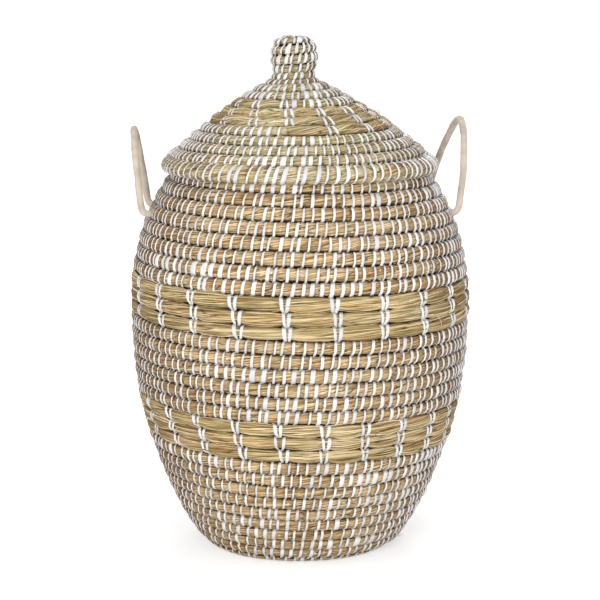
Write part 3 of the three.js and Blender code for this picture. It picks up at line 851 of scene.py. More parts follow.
class Coil:
    """A bundle of straw that winds along a meridian, one row in each turn.

    A place on it has a row number, which grows by one each turn, and an angle round the row's section: 0 at
    the seam with the next row, a quarter turn at the outer crown, half a turn at the seam with the row
    before. The azimuth falls a full turn for each row from the seam's azimuth; azimuth 0 is the front, -Y,
    and +90 is +X.
    """

    CLOSED = False
    FULLNESS = 2.4
    FLATTENED = 1.2 * MM
    OVERLAP = 1.04
    LEAST_PITCH = 4 * MM

    def __init__(self, meridian: Meridian, seam: float, half_thickness: Callable[[Array], Array],
                 handwork: Handwork, first_row: float, last_row: float, seed: float,
                 lean: Optional[Callable[[Array], Array]] = None) -> None:
        """Keeps the coil's line and works out the length along it.

        Args:
            meridian: The middle of the wall.
            seam: The azimuth of whole row numbers, in radians.
            half_thickness: Half the wall's thickness at row numbers.
            handwork: How uneven the coil is.
            first_row: The row number of the coil's inner end.
            last_row: The row number at which the meridian ends; the last turn thins out after it.
            seed: Picks the pattern of the unevenness.
            lean: How far a height stands to the left.
        """
        self.meridian = meridian
        self.seam = seam
        self.half_thickness = half_thickness
        self.handwork = handwork
        self.first_row = first_row
        self.last_row = last_row
        self.seed = seed
        self.lean = lean
        rows = np.arange(first_row - 1, last_row + 1.5, 0.01)
        radii = meridian.place(rows - 0.5)[:, 0]
        self.length_rows = rows
        self.lengths = np.concatenate([[0], np.cumsum(TURN * (radii[1:] + radii[:-1]) / 2 * np.diff(rows))])

    def metres(self, row: Array) -> Array:
        """The length along the coil at row numbers: the sum of the circumferences."""
        return np.interp(row, self.length_rows, self.lengths)

    def rows_at(self, metres: Array) -> Array:
        """The row numbers at lengths along the coil."""
        return np.interp(metres, self.lengths, self.length_rows)

    def noise(self, metres: Array, across: Array, cell: float, seed: float) -> Array:
        """Smooth noise along the coil, in cells of a length, and across it in cells of one."""
        return smooth_noise(metres / cell, across, self.seed + seed)

    def seam_row(self, row: Array, azimuth: Array) -> Array:
        """Where the seam that belongs at a row number really runs.

        The seam moves along the meridian by the handwork's shift, by its tilt times the sine of the azimuth,
        and by a slow wander, all as lengths over the pitch of a row.

        Args:
            row: Row numbers.
            azimuth: The azimuths at which they are reached.

        Returns:
            Row numbers on the meridian.
        """
        share = np.clip((row - self.first_row) / (self.last_row - self.first_row), 0, 1)
        work = self.handwork
        pitch = np.linalg.norm(self.meridian.place(row + 0.5) - self.meridian.place(row - 0.5), axis=-1)
        cells = self.metres(row) / work.wander_length
        wander = work.wander * smooth_noise(cells, np.zeros_like(row), self.seed)
        held = np.minimum(smoothstep(row, self.first_row, self.first_row + 1),
                          1 - smoothstep(row, self.last_row - 1, self.last_row))
        moved = work.shift(share) + work.tilt(share) * np.sin(azimuth) + wander * held
        return row + moved / np.maximum(pitch, self.LEAST_PITCH)

    def section(self, row: Array) -> tuple[Array, Array, Array, Array, Array]:
        """The section of the row that ends at a row number.

        Args:
            row: Row numbers.

        Returns:
            The centre, the unit directions along the meridian and out of the wall, and half the section's
            width and thickness.
        """
        azimuth = self.seam - TURN * row
        low = self.seam_row(np.maximum(row - 1, self.first_row), azimuth)
        high = self.seam_row(np.minimum(row, self.last_row), azimuth)
        middle = (low + high) / 2
        foot, head = self.meridian.place(low), self.meridian.place(high)
        across = head - foot
        width = np.linalg.norm(across, axis=-1)
        across = across / np.maximum(width, 1e-6)[..., None]
        share = np.minimum(row, self.last_row) - np.maximum(row - 1, self.first_row)
        half_thickness = self.half_thickness(middle) * np.clip(share, 0.05, 1)
        centre = (self.meridian.place(middle) * 2 + foot + head) / 4
        outward = self.meridian.outer_side * np.stack([across[..., 1], -across[..., 0]], axis=-1)
        return centre, across, outward, width / 2 * self.OVERLAP, half_thickness

    def points(self, row: Array, angle: Array, lift: Array, relief: Array) -> Array:
        """Places on the coil.

        The section is a superellipse: the cosine and the sine of the angle, each to the power two over the
        fullness, times half the width and half the thickness. A place is moved along the section's normal by
        the lift and the relief, and the section is carried round to the row's azimuth. What would hang below
        the floor is flattened to a quarter.

        Args:
            row: Row numbers.
            angle: Angles round the section, in radians.
            lift: Heights over the straw, in metres.
            relief: Heights of the straw itself over its plain section.

        Returns:
            Places, shaped as the arguments' broadcast shape with one axis of 3 more.
        """
        row, angle, lift, relief = np.broadcast_arrays(row, angle, lift, relief)
        centre, across, outward, half_width, half_thickness = self.section(row)
        power = 2 / self.FULLNESS
        cos, sin = np.cos(angle), np.sin(angle)
        along_part = np.sign(cos) * np.abs(cos) ** power
        out_part = np.sign(sin) * np.abs(sin) ** power
        slope = 2 - power
        normal_along = np.sign(cos) * np.abs(cos) ** slope / np.maximum(half_width, 1e-5)
        normal_out = np.sign(sin) * np.abs(sin) ** slope / np.maximum(half_thickness, 1e-5)
        normal_length = np.maximum(np.hypot(normal_along, normal_out), 1e-9)
        raised = lift + relief
        to_seam = half_width * along_part + raised * normal_along / normal_length
        to_crown = half_thickness * out_part + raised * normal_out / normal_length
        place = centre + to_seam[..., None] * across + to_crown[..., None] * outward
        azimuth = self.seam - TURN * row
        radius, height = place[..., 0], place[..., 1]
        flattened = self.FLATTENED + 0.25 * (height - self.FLATTENED)
        height = np.where(height < self.FLATTENED, flattened, height)
        x = radius * np.sin(azimuth)
        if self.lean:
            x = x - self.lean(height)
        return np.stack([x, -radius * np.cos(azimuth), height], axis=-1)


class Ring(Coil):
    """A coil that closes on itself: one round of the same section, at one height.

    The row number grows from 0 to 1 once round, and the angle starts at the foot of the section, with a
    quarter turn at its outermost place and half a turn at its top.
    """

    CLOSED = True
    FULLNESS = 2.1

    def __init__(self, radius: float, height: float, half_width: float, half_depth: float, swell: float,
                 seed: float, slope: float = math.radians(90)) -> None:
        """Keeps the ring's sizes.

        Args:
            radius: The radius of the section's centre.
            height: The height of the section's centre.
            half_width: Half the section's size along its slope.
            half_depth: Half the section's size square to its slope.
            swell: How uneven its thickness is.
            seed: Picks the pattern of the unevenness.
            slope: How steeply the section's length falls outwards, in radians.
        """
        self.down = (math.cos(slope), -math.sin(slope))
        self.out = (math.sin(slope), math.cos(slope))
        self.centre = np.array([radius, height])
        self.half_width = half_width
        self.half_depth = half_depth
        self.handwork = Handwork(swell=swell)
        self.seam = math.pi
        self.seed = seed
        self.lean = None
        self.length = TURN * radius

    def metres(self, row: Array) -> Array:
        """The length along the ring at row numbers: the circumference times the row number."""
        return self.length * np.asarray(row)

    def rows_at(self, metres: Array) -> Array:
        """The row numbers at lengths along the ring."""
        return metres / self.length

    def noise(self, metres: Array, across: Array, cell: float, seed: float) -> Array:
        """Smooth noise that meets itself after a round, as the cells' length is made to fit."""
        count = max(round(self.length / cell), 1)
        return smooth_noise(metres / self.length * count, across, self.seed + seed, count)

    def section(self, row: Array) -> tuple[Array, Array, Array, Array, Array]:
        """The ring's section, the same all round: its centre, down, outward, and its half sizes."""
        return (
            np.broadcast_to(self.centre, row.shape + (2,)), np.broadcast_to(self.down, row.shape + (2,)),
            np.broadcast_to(self.out, row.shape + (2,)), np.full_like(row, self.half_width),
            np.full_like(row, self.half_depth))


class SewnZone:
    """One stitched zone of a coil: its straw, its strips, and the straws that have come loose from it."""

    # The straw: its places round and along, and the metres of one radian round it.
    SIDES = 24
    STEPS_PER_STITCH = (0.0, 0.22, 0.5, 0.78)
    LOOSE_STEP = 2.9 * MM
    RADIAN = 8.4 * MM
    GRAIN = 0.16
    WAVE_HEIGHT = 0.9 * MM
    WAVE_LENGTH = 45 * MM
    # Its stems' ridges: cells in a radian, their length, their seed and their share of the height.
    RIDGES = ((2.6, 38 * MM, 9.0, 0.65), (5.2, 21 * MM, 13.0, 0.5))
    # Painted shadow with dust in the seams, painted shadow beside strips, and painted side shade in gold
    # by the cosine of the azimuth from the back.
    CREASE_STRENGTH = 4.2
    CREASE_POWER = 11
    BESIDE_STRIP = 0.58
    BESIDE_REACH = 2.1 * MM
    SIDE_SHADE_RISE = (-0.97, -0.4)
    SIDE_SHADE_BACK = (0.0, 0.8)
    BACK_LOSS = 0.4
    LOW_ROWS = 9
    # Close strips, and pairs of strips in columns with how much they vary.
    STITCH_SPACING = 10.7 * MM
    PAIR_JITTER = 1.5 * MM
    PAIR_SPREAD = 4.6 * MM
    PAIR_SPREAD_VARIES = 1.3 * MM
    PAIR_LEAN_VARIES = 0.9 * MM
    PAIR_FOOT = 0.9 * MM
    PAIR_FOOT_VARIES = 0.5 * MM
    PAIR_WIDTH_VARIES = 0.4
    PAIR_FOOT_SHARE = 0.55
    PAIR_MARGIN = 4 * MM
    # A strip's section, in half widths and heights, its length, bow and bulge, and its ends' painted
    # shade and dust.
    STRIP_ACROSS = (-1.0, -0.68, 0.68, 1.0)
    STRIP_HEIGHTS = (-0.15 * MM, 0.65 * MM, 0.65 * MM, -0.15 * MM)
    STRIP_LENGTH = 24 * MM
    STRIP_SIDE = 1.2 * MM
    STRIP_BOW = 0.6 * MM
    STRIP_BULGE = 0.2
    DUST_AND_SHADE_TOP = 0.25
    DUST_AND_SHADE_FOOT = 0.4
    EYE_MARGIN = 0.3
    # Loose straws: shares of their style's sizes, and how they bend, dive in and are held down.
    BLADE_LENGTHS = (0.55, 1.4)
    BLADE_PARTS = (0.4, 1.0)
    BLADE_WIDTHS = (0.6, 1.35)
    BLADE_HEIGHTS = (0.5, 1.2)
    BLADE_RISES = (0.2, 1.0)
    BLADE_WAVE = 0.04
    BLADE_WAVE_LENGTH = 30 * MM
    PAIR_GATHERS = 0.12
    RING_TURN = 0.15 * math.pi
    END_DIVE = 1.2 * MM
    SEWN_PRESS = 0.4 * MM
    BLADE_OFFSET = 7.3 * MM
    # A strip's path: at each station the rows it has stepped, its share of half a turn, and its sink.
    WALL_PATH = (
        (0, 0.03, -1.3 * MM), (0, 0.12, 0.0), (0, 0.3, 0.0), (0, 0.5, 0.0), (0, 0.7, 0.0),
        (0, 0.86, 0.1 * MM), (-1, 0.11, 0.3 * MM), (-1, 0.16, 0.1 * MM), (-1, 0.2, -1.3 * MM))
    INNER_PATH = (
        (0, -0.02, -1.3 * MM), (0, -0.212, 0.0), (0, -0.404, 0.0), (0, -0.596, 0.0), (0, -0.788, 0.0),
        (0, -0.98, -1.3 * MM))
    RING_PATH = (
        (0, 1.3, -0.6 * MM), (0, 1.1, 0.0), (0, 0.9, 0.0), (0, 0.7, 0.0), (0, 0.5, 0.0), (0, 0.32, 0.0),
        (0, 0.16, 0.0), (0, 0.04, 0.0), (0, -0.08, 0.0), (0, -0.2, 0.0), (0, -0.4, 0.0), (0, -0.6, 0.0),
        (0, -0.75, -0.6 * MM))

    def __init__(self, coil: Coil, node: str, first: float, last: float, sewing: Sewing, seed: int,
                 columns: int = 0, first_column: float = 0.0, drift: float = 2.6 * MM,
                 slant: float = 4.2 * MM, column_lean: float = 0.0, column_width: float = 4.0 * MM,
                 grain: float = GRAIN, spacing: float = STITCH_SPACING, foot_darkening: float = 0.0) -> None:
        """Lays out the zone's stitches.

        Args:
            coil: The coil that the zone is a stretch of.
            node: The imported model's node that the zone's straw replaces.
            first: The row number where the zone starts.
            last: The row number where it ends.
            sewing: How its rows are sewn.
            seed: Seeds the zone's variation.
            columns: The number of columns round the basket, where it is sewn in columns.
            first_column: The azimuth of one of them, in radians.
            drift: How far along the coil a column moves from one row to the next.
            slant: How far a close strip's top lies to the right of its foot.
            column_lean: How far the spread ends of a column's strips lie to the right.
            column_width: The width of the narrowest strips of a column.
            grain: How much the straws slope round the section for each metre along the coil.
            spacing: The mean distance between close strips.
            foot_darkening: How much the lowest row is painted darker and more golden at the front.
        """
        self.coil = coil
        self.node = node
        self.column_lean = column_lean
        self.column_width = column_width
        self.grain = grain
        self.first = first
        self.last = last
        self.foot_darkening = foot_darkening
        self.loose = sewing is Sewing.COLUMNS
        self.packing = SLACK if self.loose else FIRM
        self.random = np.random.default_rng(seed)
        self.start, self.end = float(coil.metres(first)), float(coil.metres(last))
        self.looped = coil.CLOSED
        if self.loose:
            self.stitches = self.column_stitches(columns, first_column, drift)
        else:
            self.stitches = Stitches.close(self.random, coil, first, last, spacing, slant)

    def column_stitches(self, columns: int, first_column: float, drift: float) -> Stitches:
        """Pairs of strips in columns: both strips of a pair start close together in the row before, and
        spread towards the next row.

        Args:
            columns: The number of columns round the coil.
            first_column: The azimuth of one of them.
            drift: How far along the coil a column moves from one row to the next.

        Returns:
            The stitches, two for each pair.
        """
        start_turn = (self.coil.seam - first_column) / TURN
        numbers = np.arange(math.ceil((self.first - start_turn) * columns),
                            math.floor((self.last - start_turn) * columns) + 1)
        rows = start_turn + numbers / columns
        level = np.floor(rows - self.first)
        jitter = self.PAIR_JITTER * self.random.uniform(-1, 1, len(rows))
        own_drift = drift * (0.8 + 0.4 * np.sin(numbers * TURN / columns * 2.0))
        metres = self.coil.metres(rows) + jitter + own_drift * (level - 1)
        metres = metres[(metres > self.start + self.PAIR_MARGIN) & (metres < self.end - self.PAIR_MARGIN)]
        count = len(metres)
        sides = np.array([-1.0, 1.0])[:, None]
        lean = self.column_lean + self.PAIR_LEAN_VARIES * self.random.uniform(-1, 1, count)
        spread = self.PAIR_SPREAD + self.PAIR_SPREAD_VARIES * self.random.uniform(-1, 1, (2, count))
        foot = self.PAIR_FOOT + self.PAIR_FOOT_VARIES * self.random.uniform(-1, 1, count)
        widths = self.column_width * (1 + self.PAIR_WIDTH_VARIES * self.random.random((2, count)))
        return Stitches(
            np.tile(metres, 2), widths.ravel(), (sides * spread + lean).ravel(), (sides * foot).ravel(),
            np.full(2 * count, self.PAIR_FOOT_SHARE), self.random.random(2 * count))

    def stations(self) -> Array:
        """Lengths along the coil for the straw's rings: at the stitches and between them."""
        if self.loose:
            count = int((self.end - self.start) / self.LOOSE_STEP)
            return np.linspace(self.start, self.end, count + 1)
        marks = np.concatenate([[self.start], self.stitches.metres, [self.end]])
        gaps = np.diff(marks)
        between = marks[:-1, None] + gaps[:, None] * np.array(self.STEPS_PER_STITCH)
        return np.append(between.ravel(), self.end)

    def relief(self, metres: Array, angle: Array) -> Array:
        """The straw's own relief: pressed in under the strips, swelling between them, ridged by its stems.

        The pressing is the nearness of a stitch times its depth, the swelling slow noise along the coil, and
        the ridges noise that is short round the section and long along it.

        Args:
            metres: Lengths along the coil.
            angle: Angles round the section, of a shape that broadcasts with the lengths.

        Returns:
            Heights over the plain section, in metres.
        """
        packing, work = self.packing, self.coil.handwork
        pressed = packing.depth * self.stitches.near(metres, packing.reach)
        swell = work.swell * self.coil.noise(metres, angle * 0.0, work.swell_length, 5.0)
        ridges = sum(
            share * self.coil.noise(metres, angle * cells, length, seed)
            for cells, length, seed, share in self.RIDGES)
        return packing.rise + swell - pressed + packing.ridge * ridges

    def strand_across(self, metres: Array, angle: Array) -> Array:
        """Where straws run: the second strand coordinate, in metres round the section.

        It is the length round the section less the straws' slope along the coil, with a slow wave.

        Args:
            metres: Lengths along the coil.
            angle: Angles round the section, of a shape that broadcasts with the lengths.

        Returns:
            The coordinate at each of them.
        """
        slope = self.grain * self.packing.slope
        wave = self.WAVE_HEIGHT * self.coil.noise(metres, 0 * metres, self.WAVE_LENGTH, 21.0)
        return self.RADIAN * angle - slope * metres + wave

    def straw(self) -> bpy.types.Object:
        """The zone's straw as one closed tube along the coil, or as a ring if the coil is one.

        Its depth, the share of painted shadow and dust, is a power of the cosine of the angle from a seam,
        times a strength and at most 1, or a share of the nearness of a strip where that is more, which is
        painted shadow alone. Its gold, a painted shade, rises from the front to the sides and falls again
        towards the back. On the lowest rows it is at least a share that falls evenly with the rows.

        Returns:
            The straw as one object.
        """
        metres = self.stations()[:-1] if self.looped else self.stations()
        rows = self.coil.rows_at(metres)
        angles = TURN * np.arange(self.SIDES) / self.SIDES
        relief = self.relief(metres[:, None], angles[None, :])
        points = self.coil.points(rows[:, None], angles[None, :], 0.0, relief)
        # The depth is painted shadow: in the seams, with some dust, and beside the strips.
        crease = -np.cos(angles) if self.looped else np.abs(np.cos(angles))
        in_crease = self.CREASE_STRENGTH * np.clip(crease, 0, 1) ** self.CREASE_POWER
        beside = self.BESIDE_STRIP * self.stitches.near(metres, self.BESIDE_REACH)
        depth = np.maximum(np.minimum(in_crease, 1), beside[:, None])
        # Painted side shade: gold rises from the front to the sides and is less at the back; the lowest rows
        # are darker.
        behind = -np.cos(self.coil.seam - TURN * rows)
        lighter_back = self.BACK_LOSS * smoothstep(behind, *self.SIDE_SHADE_BACK)
        gold = smoothstep(behind, *self.SIDE_SHADE_RISE) * (1 - lighter_back)
        gold = np.maximum(gold, self.foot_darkening * np.clip(1 - rows / self.LOW_ROWS, 0, 1))
        along = np.append(metres, self.end) if self.looped else metres
        around = self.strand_across(along[:, None], TURN * np.arange(self.SIDES + 1) / self.SIDES)
        data = closed_tubes(
            points[None], along[None], around[None], {DEPTH: depth, PAINTED_SIDE_SHADE: gold[:, None]}, self.looped)
        return data.build(self.node + "_straw")

    def strips(self, name: str, outer: bool) -> bpy.types.Object:
        """The strips on one face of the zone, each a thin closed band with a raised middle.

        An outside strip comes out of the seam with the next row, runs over its own row, crosses the seam
        below and dives into the row before. Its line along the coil shifts evenly from its top's shift to
        its foot's, and its width bulges by the sine of its share. An inside strip runs from seam to seam.
        The painted shade and dust on a strip fall evenly from each end to nothing.

        Args:
            name: The new piece's name.
            outer: Whether they lie on the outside of the wall.

        Returns:
            The strips as one object.
        """
        stitches = self.stitches
        path = np.array(self.RING_PATH if self.looped else self.WALL_PATH if outer else self.INNER_PATH)
        row_step, angle, sunk = path[:, 0], math.pi * path[:, 1], path[:, 2]
        share = np.linspace(1, 0, len(path))
        wave = np.sin(math.pi * share)
        shift = stitches.foot_shifts[:, None] * (1 - share) + stitches.top_shifts[:, None] * share
        bow = self.STRIP_BOW * wave * (stitches.tones[:, None] - 0.5) * 2
        taper = stitches.foot_shares[:, None] + (1 - stitches.foot_shares[:, None]) * share
        bulge = 1 - self.STRIP_BULGE + self.STRIP_BULGE * wave
        half_widths = stitches.widths[:, None] / 2 * taper * bulge
        middle = stitches.metres[:, None] - shift - bow
        metres = middle[..., None] + half_widths[..., None] * np.array(self.STRIP_ACROSS)
        angles = angle[None, :, None]
        lift = np.array(self.STRIP_HEIGHTS) + sunk[None, :, None]
        rows = self.coil.rows_at(metres) + row_step[None, :, None]
        if not self.looped:
            rows = np.maximum(rows, self.coil.first_row + self.EYE_MARGIN)
        points = self.coil.points(rows, angles, lift, self.relief(metres, angles + 0 * metres))
        along = self.STRIP_LENGTH * (1 - share) + stitches.metres[:, None]
        around = np.broadcast_to(self.STRIP_SIDE * np.arange(5), along.shape + (5,))
        # The dust here is painted shade and dust, at both ends of each strip.
        dust = np.maximum(np.maximum(1 - (1 - share) / self.DUST_AND_SHADE_TOP, 1 - share / self.DUST_AND_SHADE_FOOT), 0)
        data = closed_tubes(
            points, along, around, {TONE: stitches.tones[:, None, None], DEPTH: dust[None, :, None]})
        return data.build(name)

    def blades(self, name: str, style: BladeStyle, per_metre: float) -> bpy.types.Object:
        """Single straws on the outside of the zone, each a thin closed tube of three sides.

        A straw's angle over the section changes steadily along it by its lay, its width tapers over its last
        sixth at both ends, where it dives into the bundle, and strips press it down. Where strips are close
        it has its stations at them and midway, and a shorter one keeps its last stations in the bundle. A
        stray straw tapers to its tip alone, and rises as the square of its share instead.

        Args:
            name: The new piece's name.
            style: How the straws lie.
            per_metre: How many start on a metre of the coil.

        Returns:
            The straws as one object.
        """
        random = self.random
        count = max(int(per_metre * (self.end - self.start)), 1)
        length = style.length * random.uniform(*self.BLADE_LENGTHS, count)
        start = self.start + (self.end - self.start - length) * random.random(count)
        share = np.linspace(0, 1, style.stations)
        metres = start[:, None] + length[:, None] * share
        sewn_down = not self.loose and not style.rise
        if sewn_down:
            stitched = np.sort(self.stitches.metres)
            marks = np.stack([stitched[:-1], (stitched[:-1] + stitched[1:]) / 2], axis=-1).ravel()
            first = random.integers(0, len(marks) - style.stations, count)
            metres = marks[first[:, None] + np.arange(style.stations)]
            share = np.minimum(share / random.uniform(*self.BLADE_PARTS, count)[:, None], 1)
        middle = math.pi * random.uniform(self.packing.margin, 1 - self.packing.margin, count)
        lay = math.copysign(style.lay, self.grain) * (1 + style.spread * random.uniform(-1, 1, count))
        angle = middle[:, None] + lay[:, None] * (metres - metres.mean(axis=1, keepdims=True))
        wave = self.coil.noise(metres, middle[:, None] * 9, self.BLADE_WAVE_LENGTH, 27.0)
        angle = angle + self.BLADE_WAVE * wave
        if self.looped:
            angle = angle - self.RING_TURN
        near = self.stitches.near(metres, self.packing.hold)
        if self.loose:
            angle = math.pi / 2 + (angle - math.pi / 2) * (1 - self.PAIR_GATHERS * near)
        if style.rise:
            ends = np.clip((1 - share) * 3, 0.15, 1)
        else:
            ends = np.clip(np.minimum(share, 1 - share) * 6, 0, 1)
        width = style.width * random.uniform(*self.BLADE_WIDTHS, count)[:, None] * (0.2 + 0.8 * ends)
        lift = style.height * random.uniform(*self.BLADE_HEIGHTS, count)[:, None] * (1 - 0.75 * near)
        if sewn_down:
            lift = lift - self.SEWN_PRESS * near
        if not style.rise:
            lift = lift - self.END_DIVE * (1 - ends) ** 2
        lift = lift + style.rise * random.uniform(*self.BLADE_RISES, count)[:, None] * share ** 2
        angles = angle[..., None] + (width / 2 / self.RADIAN)[..., None] * np.array([-1.0, 0.0, 1.0])
        drop = np.array([style.back, 0.0, style.back])
        rows = self.coil.rows_at(metres)[..., None]
        relief = self.relief(metres[..., None] + 0 * angles, angles)
        points = self.coil.points(rows, angles, lift[..., None] - drop, relief)
        around = np.broadcast_to(np.array([0.0, 0.5, 1.0, 1.5]) * style.width, metres.shape + (4,))
        around = around + self.BLADE_OFFSET * np.arange(count)[:, None, None]
        data = closed_tubes(points, metres, around, {TONE: random.random(count)[:, None, None]})
        return data.build(name)

    def build(self, palette: Palette, body: Body, straw: bpy.types.Material, blade: bpy.types.Material,
              blades: float, strays: float) -> None:
        """Makes the zone's straw, its strips and its loose straws.

        Args:
            palette: The hamper's finishes.
            body: The body that the zone rides on.
            straw: The finish of its straw.
            blade: The finish of the single straws that lie on it.
            blades: How many of these start on a metre of the coil; with none there are no strays either.
            strays: How many stray straws start on a metre.
        """
        dress(self.straw(), straw, body, [self.node])
        dress(self.strips(self.node + "_strips", True), palette.strip, body)
        if not self.looped:
            dress(self.strips(self.node + "_inner_strips", False), palette.strip, body)
        if blades:
            style = BAND if self.loose else TWISTED if self.looped else LYING
            dress(self.blades(self.node + "_blades", style, blades), blade, body)
            dress(self.blades(self.node + "_stray_straws", STRAY, strays), palette.golden_blade, body)


@dataclass
class Basket:
    """The basket: floor rows, a bend, and a wall that swells to the belly and draws in to the mouth.

    The wall's lowest rows draw in further towards the floor, and the floor's own have settled onto it. The
    rows tilt by two waves up the wall, and lie lower than evenly spaced ones by three sags: over the whole
    wall, over its foot's share, and towards the rim.
    """

    foot_radius: float = 119.5 * MM
    belly_radius: float = 200 * MM
    belly_height: float = 274 * MM
    mouth_radius: float = 145.5 * MM
    wall_height: float = 452.5 * MM
    lower_fullness: float = 2.06
    upper_fullness: float = 2.6
    row_thickness: float = 14 * MM
    floor_radius: float = 92 * MM
    floor_settled: float = 1.5 * MM
    foot_tuck: float = 5.5 * MM
    foot_tuck_height: float = 30 * MM
    foot_tuck_power: float = 1.3
    bend_height: float = 3 * MM
    rows: int = 29
    eye_radius: float = 4 * MM
    seed: float = 3.0
    tilt_waves: tuple[float, float] = (1.2 * MM, 1.0 * MM)
    sag: float = 2.6 * MM
    foot_sag: float = 1.7 * MM
    foot_share: float = 0.36
    rim_sag: float = 3.9 * MM
    rim_share: float = 0.78
    rim_power: float = 1.6
    # How much darker the lowest rows are painted at the front.
    foot_darkening: float = 0.17

    def __post_init__(self) -> None:
        """Works out the meridian and the coil."""
        self.meridian = self.make_meridian()
        self.coil = Coil(
            self.meridian, 0.0, lambda row: np.full_like(row, self.row_thickness / 2),
            Handwork(tilt=self.tilt, shift=self.shift), self.meridian.rows[0], float(self.rows), self.seed)

    def radius(self, height: Array) -> Array:
        """The radius over the rows.

        Two power curves meet, upright, at the belly. From them goes the foot's tuck, times a power of the
        share of its height that is left.

        Args:
            height: Heights over the floor.

        Returns:
            The radius at each of them.
        """
        below = np.clip((self.belly_height - height) / self.belly_height, 0, None)
        above = np.clip((height - self.belly_height) / (self.wall_height - self.belly_height), 0, None)
        tucked = np.clip(1 - height / self.foot_tuck_height, 0, None) ** self.foot_tuck_power
        return (self.belly_radius - self.foot_tuck * tucked
                - (self.belly_radius - self.foot_radius) * below ** self.lower_fullness
                - (self.belly_radius - self.mouth_radius) * above ** self.upper_fullness)

    def make_meridian(self) -> Meridian:
        """The middle of the wall: a line along the floor, a quadratic bend, and the wall's curve less half
        its thickness.

        Returns:
            The meridian. Its rows share its length evenly; row 0 stands on the outermost row of the floor.
        """
        heights = np.linspace(self.bend_height, self.wall_height, 1600)
        slope = np.gradient(self.radius(heights), heights)
        outward = unit(np.stack([np.ones_like(slope), -slope], axis=-1))
        half = self.row_thickness / 2
        wall = np.stack([self.radius(heights), heights], axis=-1) - half * outward
        low = half - self.floor_settled
        up = unit(wall[1] - wall[0])
        corner = wall[0] + up * (low - wall[0][1]) / up[1]
        bend_start = np.array([corner[0] - np.linalg.norm(corner - wall[0]), low])
        share = np.linspace(0, 1, 60)[:, None]
        bend = (1 - share) ** 2 * bend_start + 2 * share * (1 - share) * corner + share ** 2 * wall[0]
        floor = np.stack([np.linspace(self.floor_radius, bend_start[0], 40), np.full(40, low)], axis=-1)
        path = np.concatenate([floor[:-1], bend[:-1], wall])
        lengths = lengths_along(path)
        pitch = lengths[-1] / (self.rows + 1.5)
        radii = np.linspace(self.eye_radius, self.floor_radius, 200)[:-1]
        middle = np.stack([radii, np.full(199, low)], axis=-1)
        inner = (self.floor_radius - self.eye_radius) / pitch
        middle_rows = -1.5 - inner + (radii - self.eye_radius) / pitch
        return Meridian(
            np.concatenate([middle, path]), np.concatenate([middle_rows, -1.5 + lengths / pitch]), 1.0)

    def tilt(self, share: Array) -> Array:
        """How much rows rise to the right: less half a sine wave up the wall, and less a whole one."""
        up = self.wall_share(share)
        return -self.tilt_waves[0] * np.sin(math.pi * up) - self.tilt_waves[1] * np.sin(TURN * up)

    def shift(self, share: Array) -> Array:
        """How far the rows lie from even spacing: less half a sine wave over the wall, another over the
        foot's share, and one of a power of the share that is lowest near the rim, which has settled.

        Args:
            share: Shares of the coil's rows.

        Returns:
            The rows' shifts up the wall, in metres.
        """
        up = self.wall_share(share)
        middle = self.sag * np.sin(math.pi * up)
        rim = self.rim_sag * np.sin(self.rim_share * math.pi * up ** self.rim_power)
        foot = self.foot_sag * np.sin(math.pi * np.clip(up / self.foot_share, 0, 1))
        return -middle - rim - foot

    def wall_share(self, share: Array) -> Array:
        """The share of the wall's rows, from the share of the whole coil's."""
        first = self.meridian.rows[0]
        return np.clip((share * (self.rows - first) + first) / self.rows, 0, 1)

    def zones(self) -> list[SewnZone]:
        """The basket's stitched zones, from the middle of the floor to the rim."""
        close, loose = Sewing.CLOSE, Sewing.COLUMNS
        eye = float(self.meridian.rows[0]) + 1.02
        rim_end = self.rows + 0.93
        zone = partial(SewnZone, self.coil, foot_darkening=self.foot_darkening)
        return [
            zone("base_coil", eye, -0.5, close, 11),
            zone("lower_wall_coil", -0.5, 9.5, close, 12),
            zone("lower_band", 9.5, 12.5, loose, 13, columns=24, first_column=math.radians(-6.7)),
            zone("middle_wall_coil", 12.5, 18.5, close, 14),
            zone("upper_band", 18.5, 21.5, loose, 15, columns=22, first_column=math.radians(-4.4),
                 column_width=4.6 * MM),
            zone("upper_wall_coil", 21.5, 28.5, close, 16),
            zone("rim_coil", 28.5, rim_end, close, 17),
        ]

    def build(self, palette: Palette) -> None:
        """Makes the basket's rows, strips and loose straws.

        Args:
            palette: The hamper's finishes.
        """
        for zone in self.zones():
            straw, blade, blades = palette.straw, palette.golden_blade, 85
            if zone.loose:
                straw, blade, blades = palette.band_straw, palette.pale_blade, 115
            if zone.node == "base_coil":
                blades = 0
            zone.build(palette, Body.BASKET, straw, blade, blades, 9)


def catmull_rom(knots: Array, steps: int) -> Array:
    """A smooth curve through knots: on each span, the cubic whose slope at a knot is half the difference of
    the knots beside it.

    Args:
        knots: Places, shaped (count, dimensions).
        steps: Places on each span.

    Returns:
        Places on the curve, the last knot included.
    """
    before = np.concatenate([knots[:1], knots[:-2]])
    after = np.concatenate([knots[2:], knots[-1:]])
    slope_here, slope_there = (knots[1:] - before) / 2, (after - knots[:-1]) / 2
    share = np.arange(steps)[:, None, None] / steps
    here, there = knots[None, :-1], knots[None, 1:]
    curve = ((2 * here - 2 * there + slope_here + slope_there) * share ** 3
             + (-3 * here + 3 * there - 2 * slope_here - slope_there) * share ** 2
             + slope_here * share + here)
    return np.concatenate([curve.transpose(1, 0, 2).reshape(-1, knots.shape[1]), knots[-1:]])


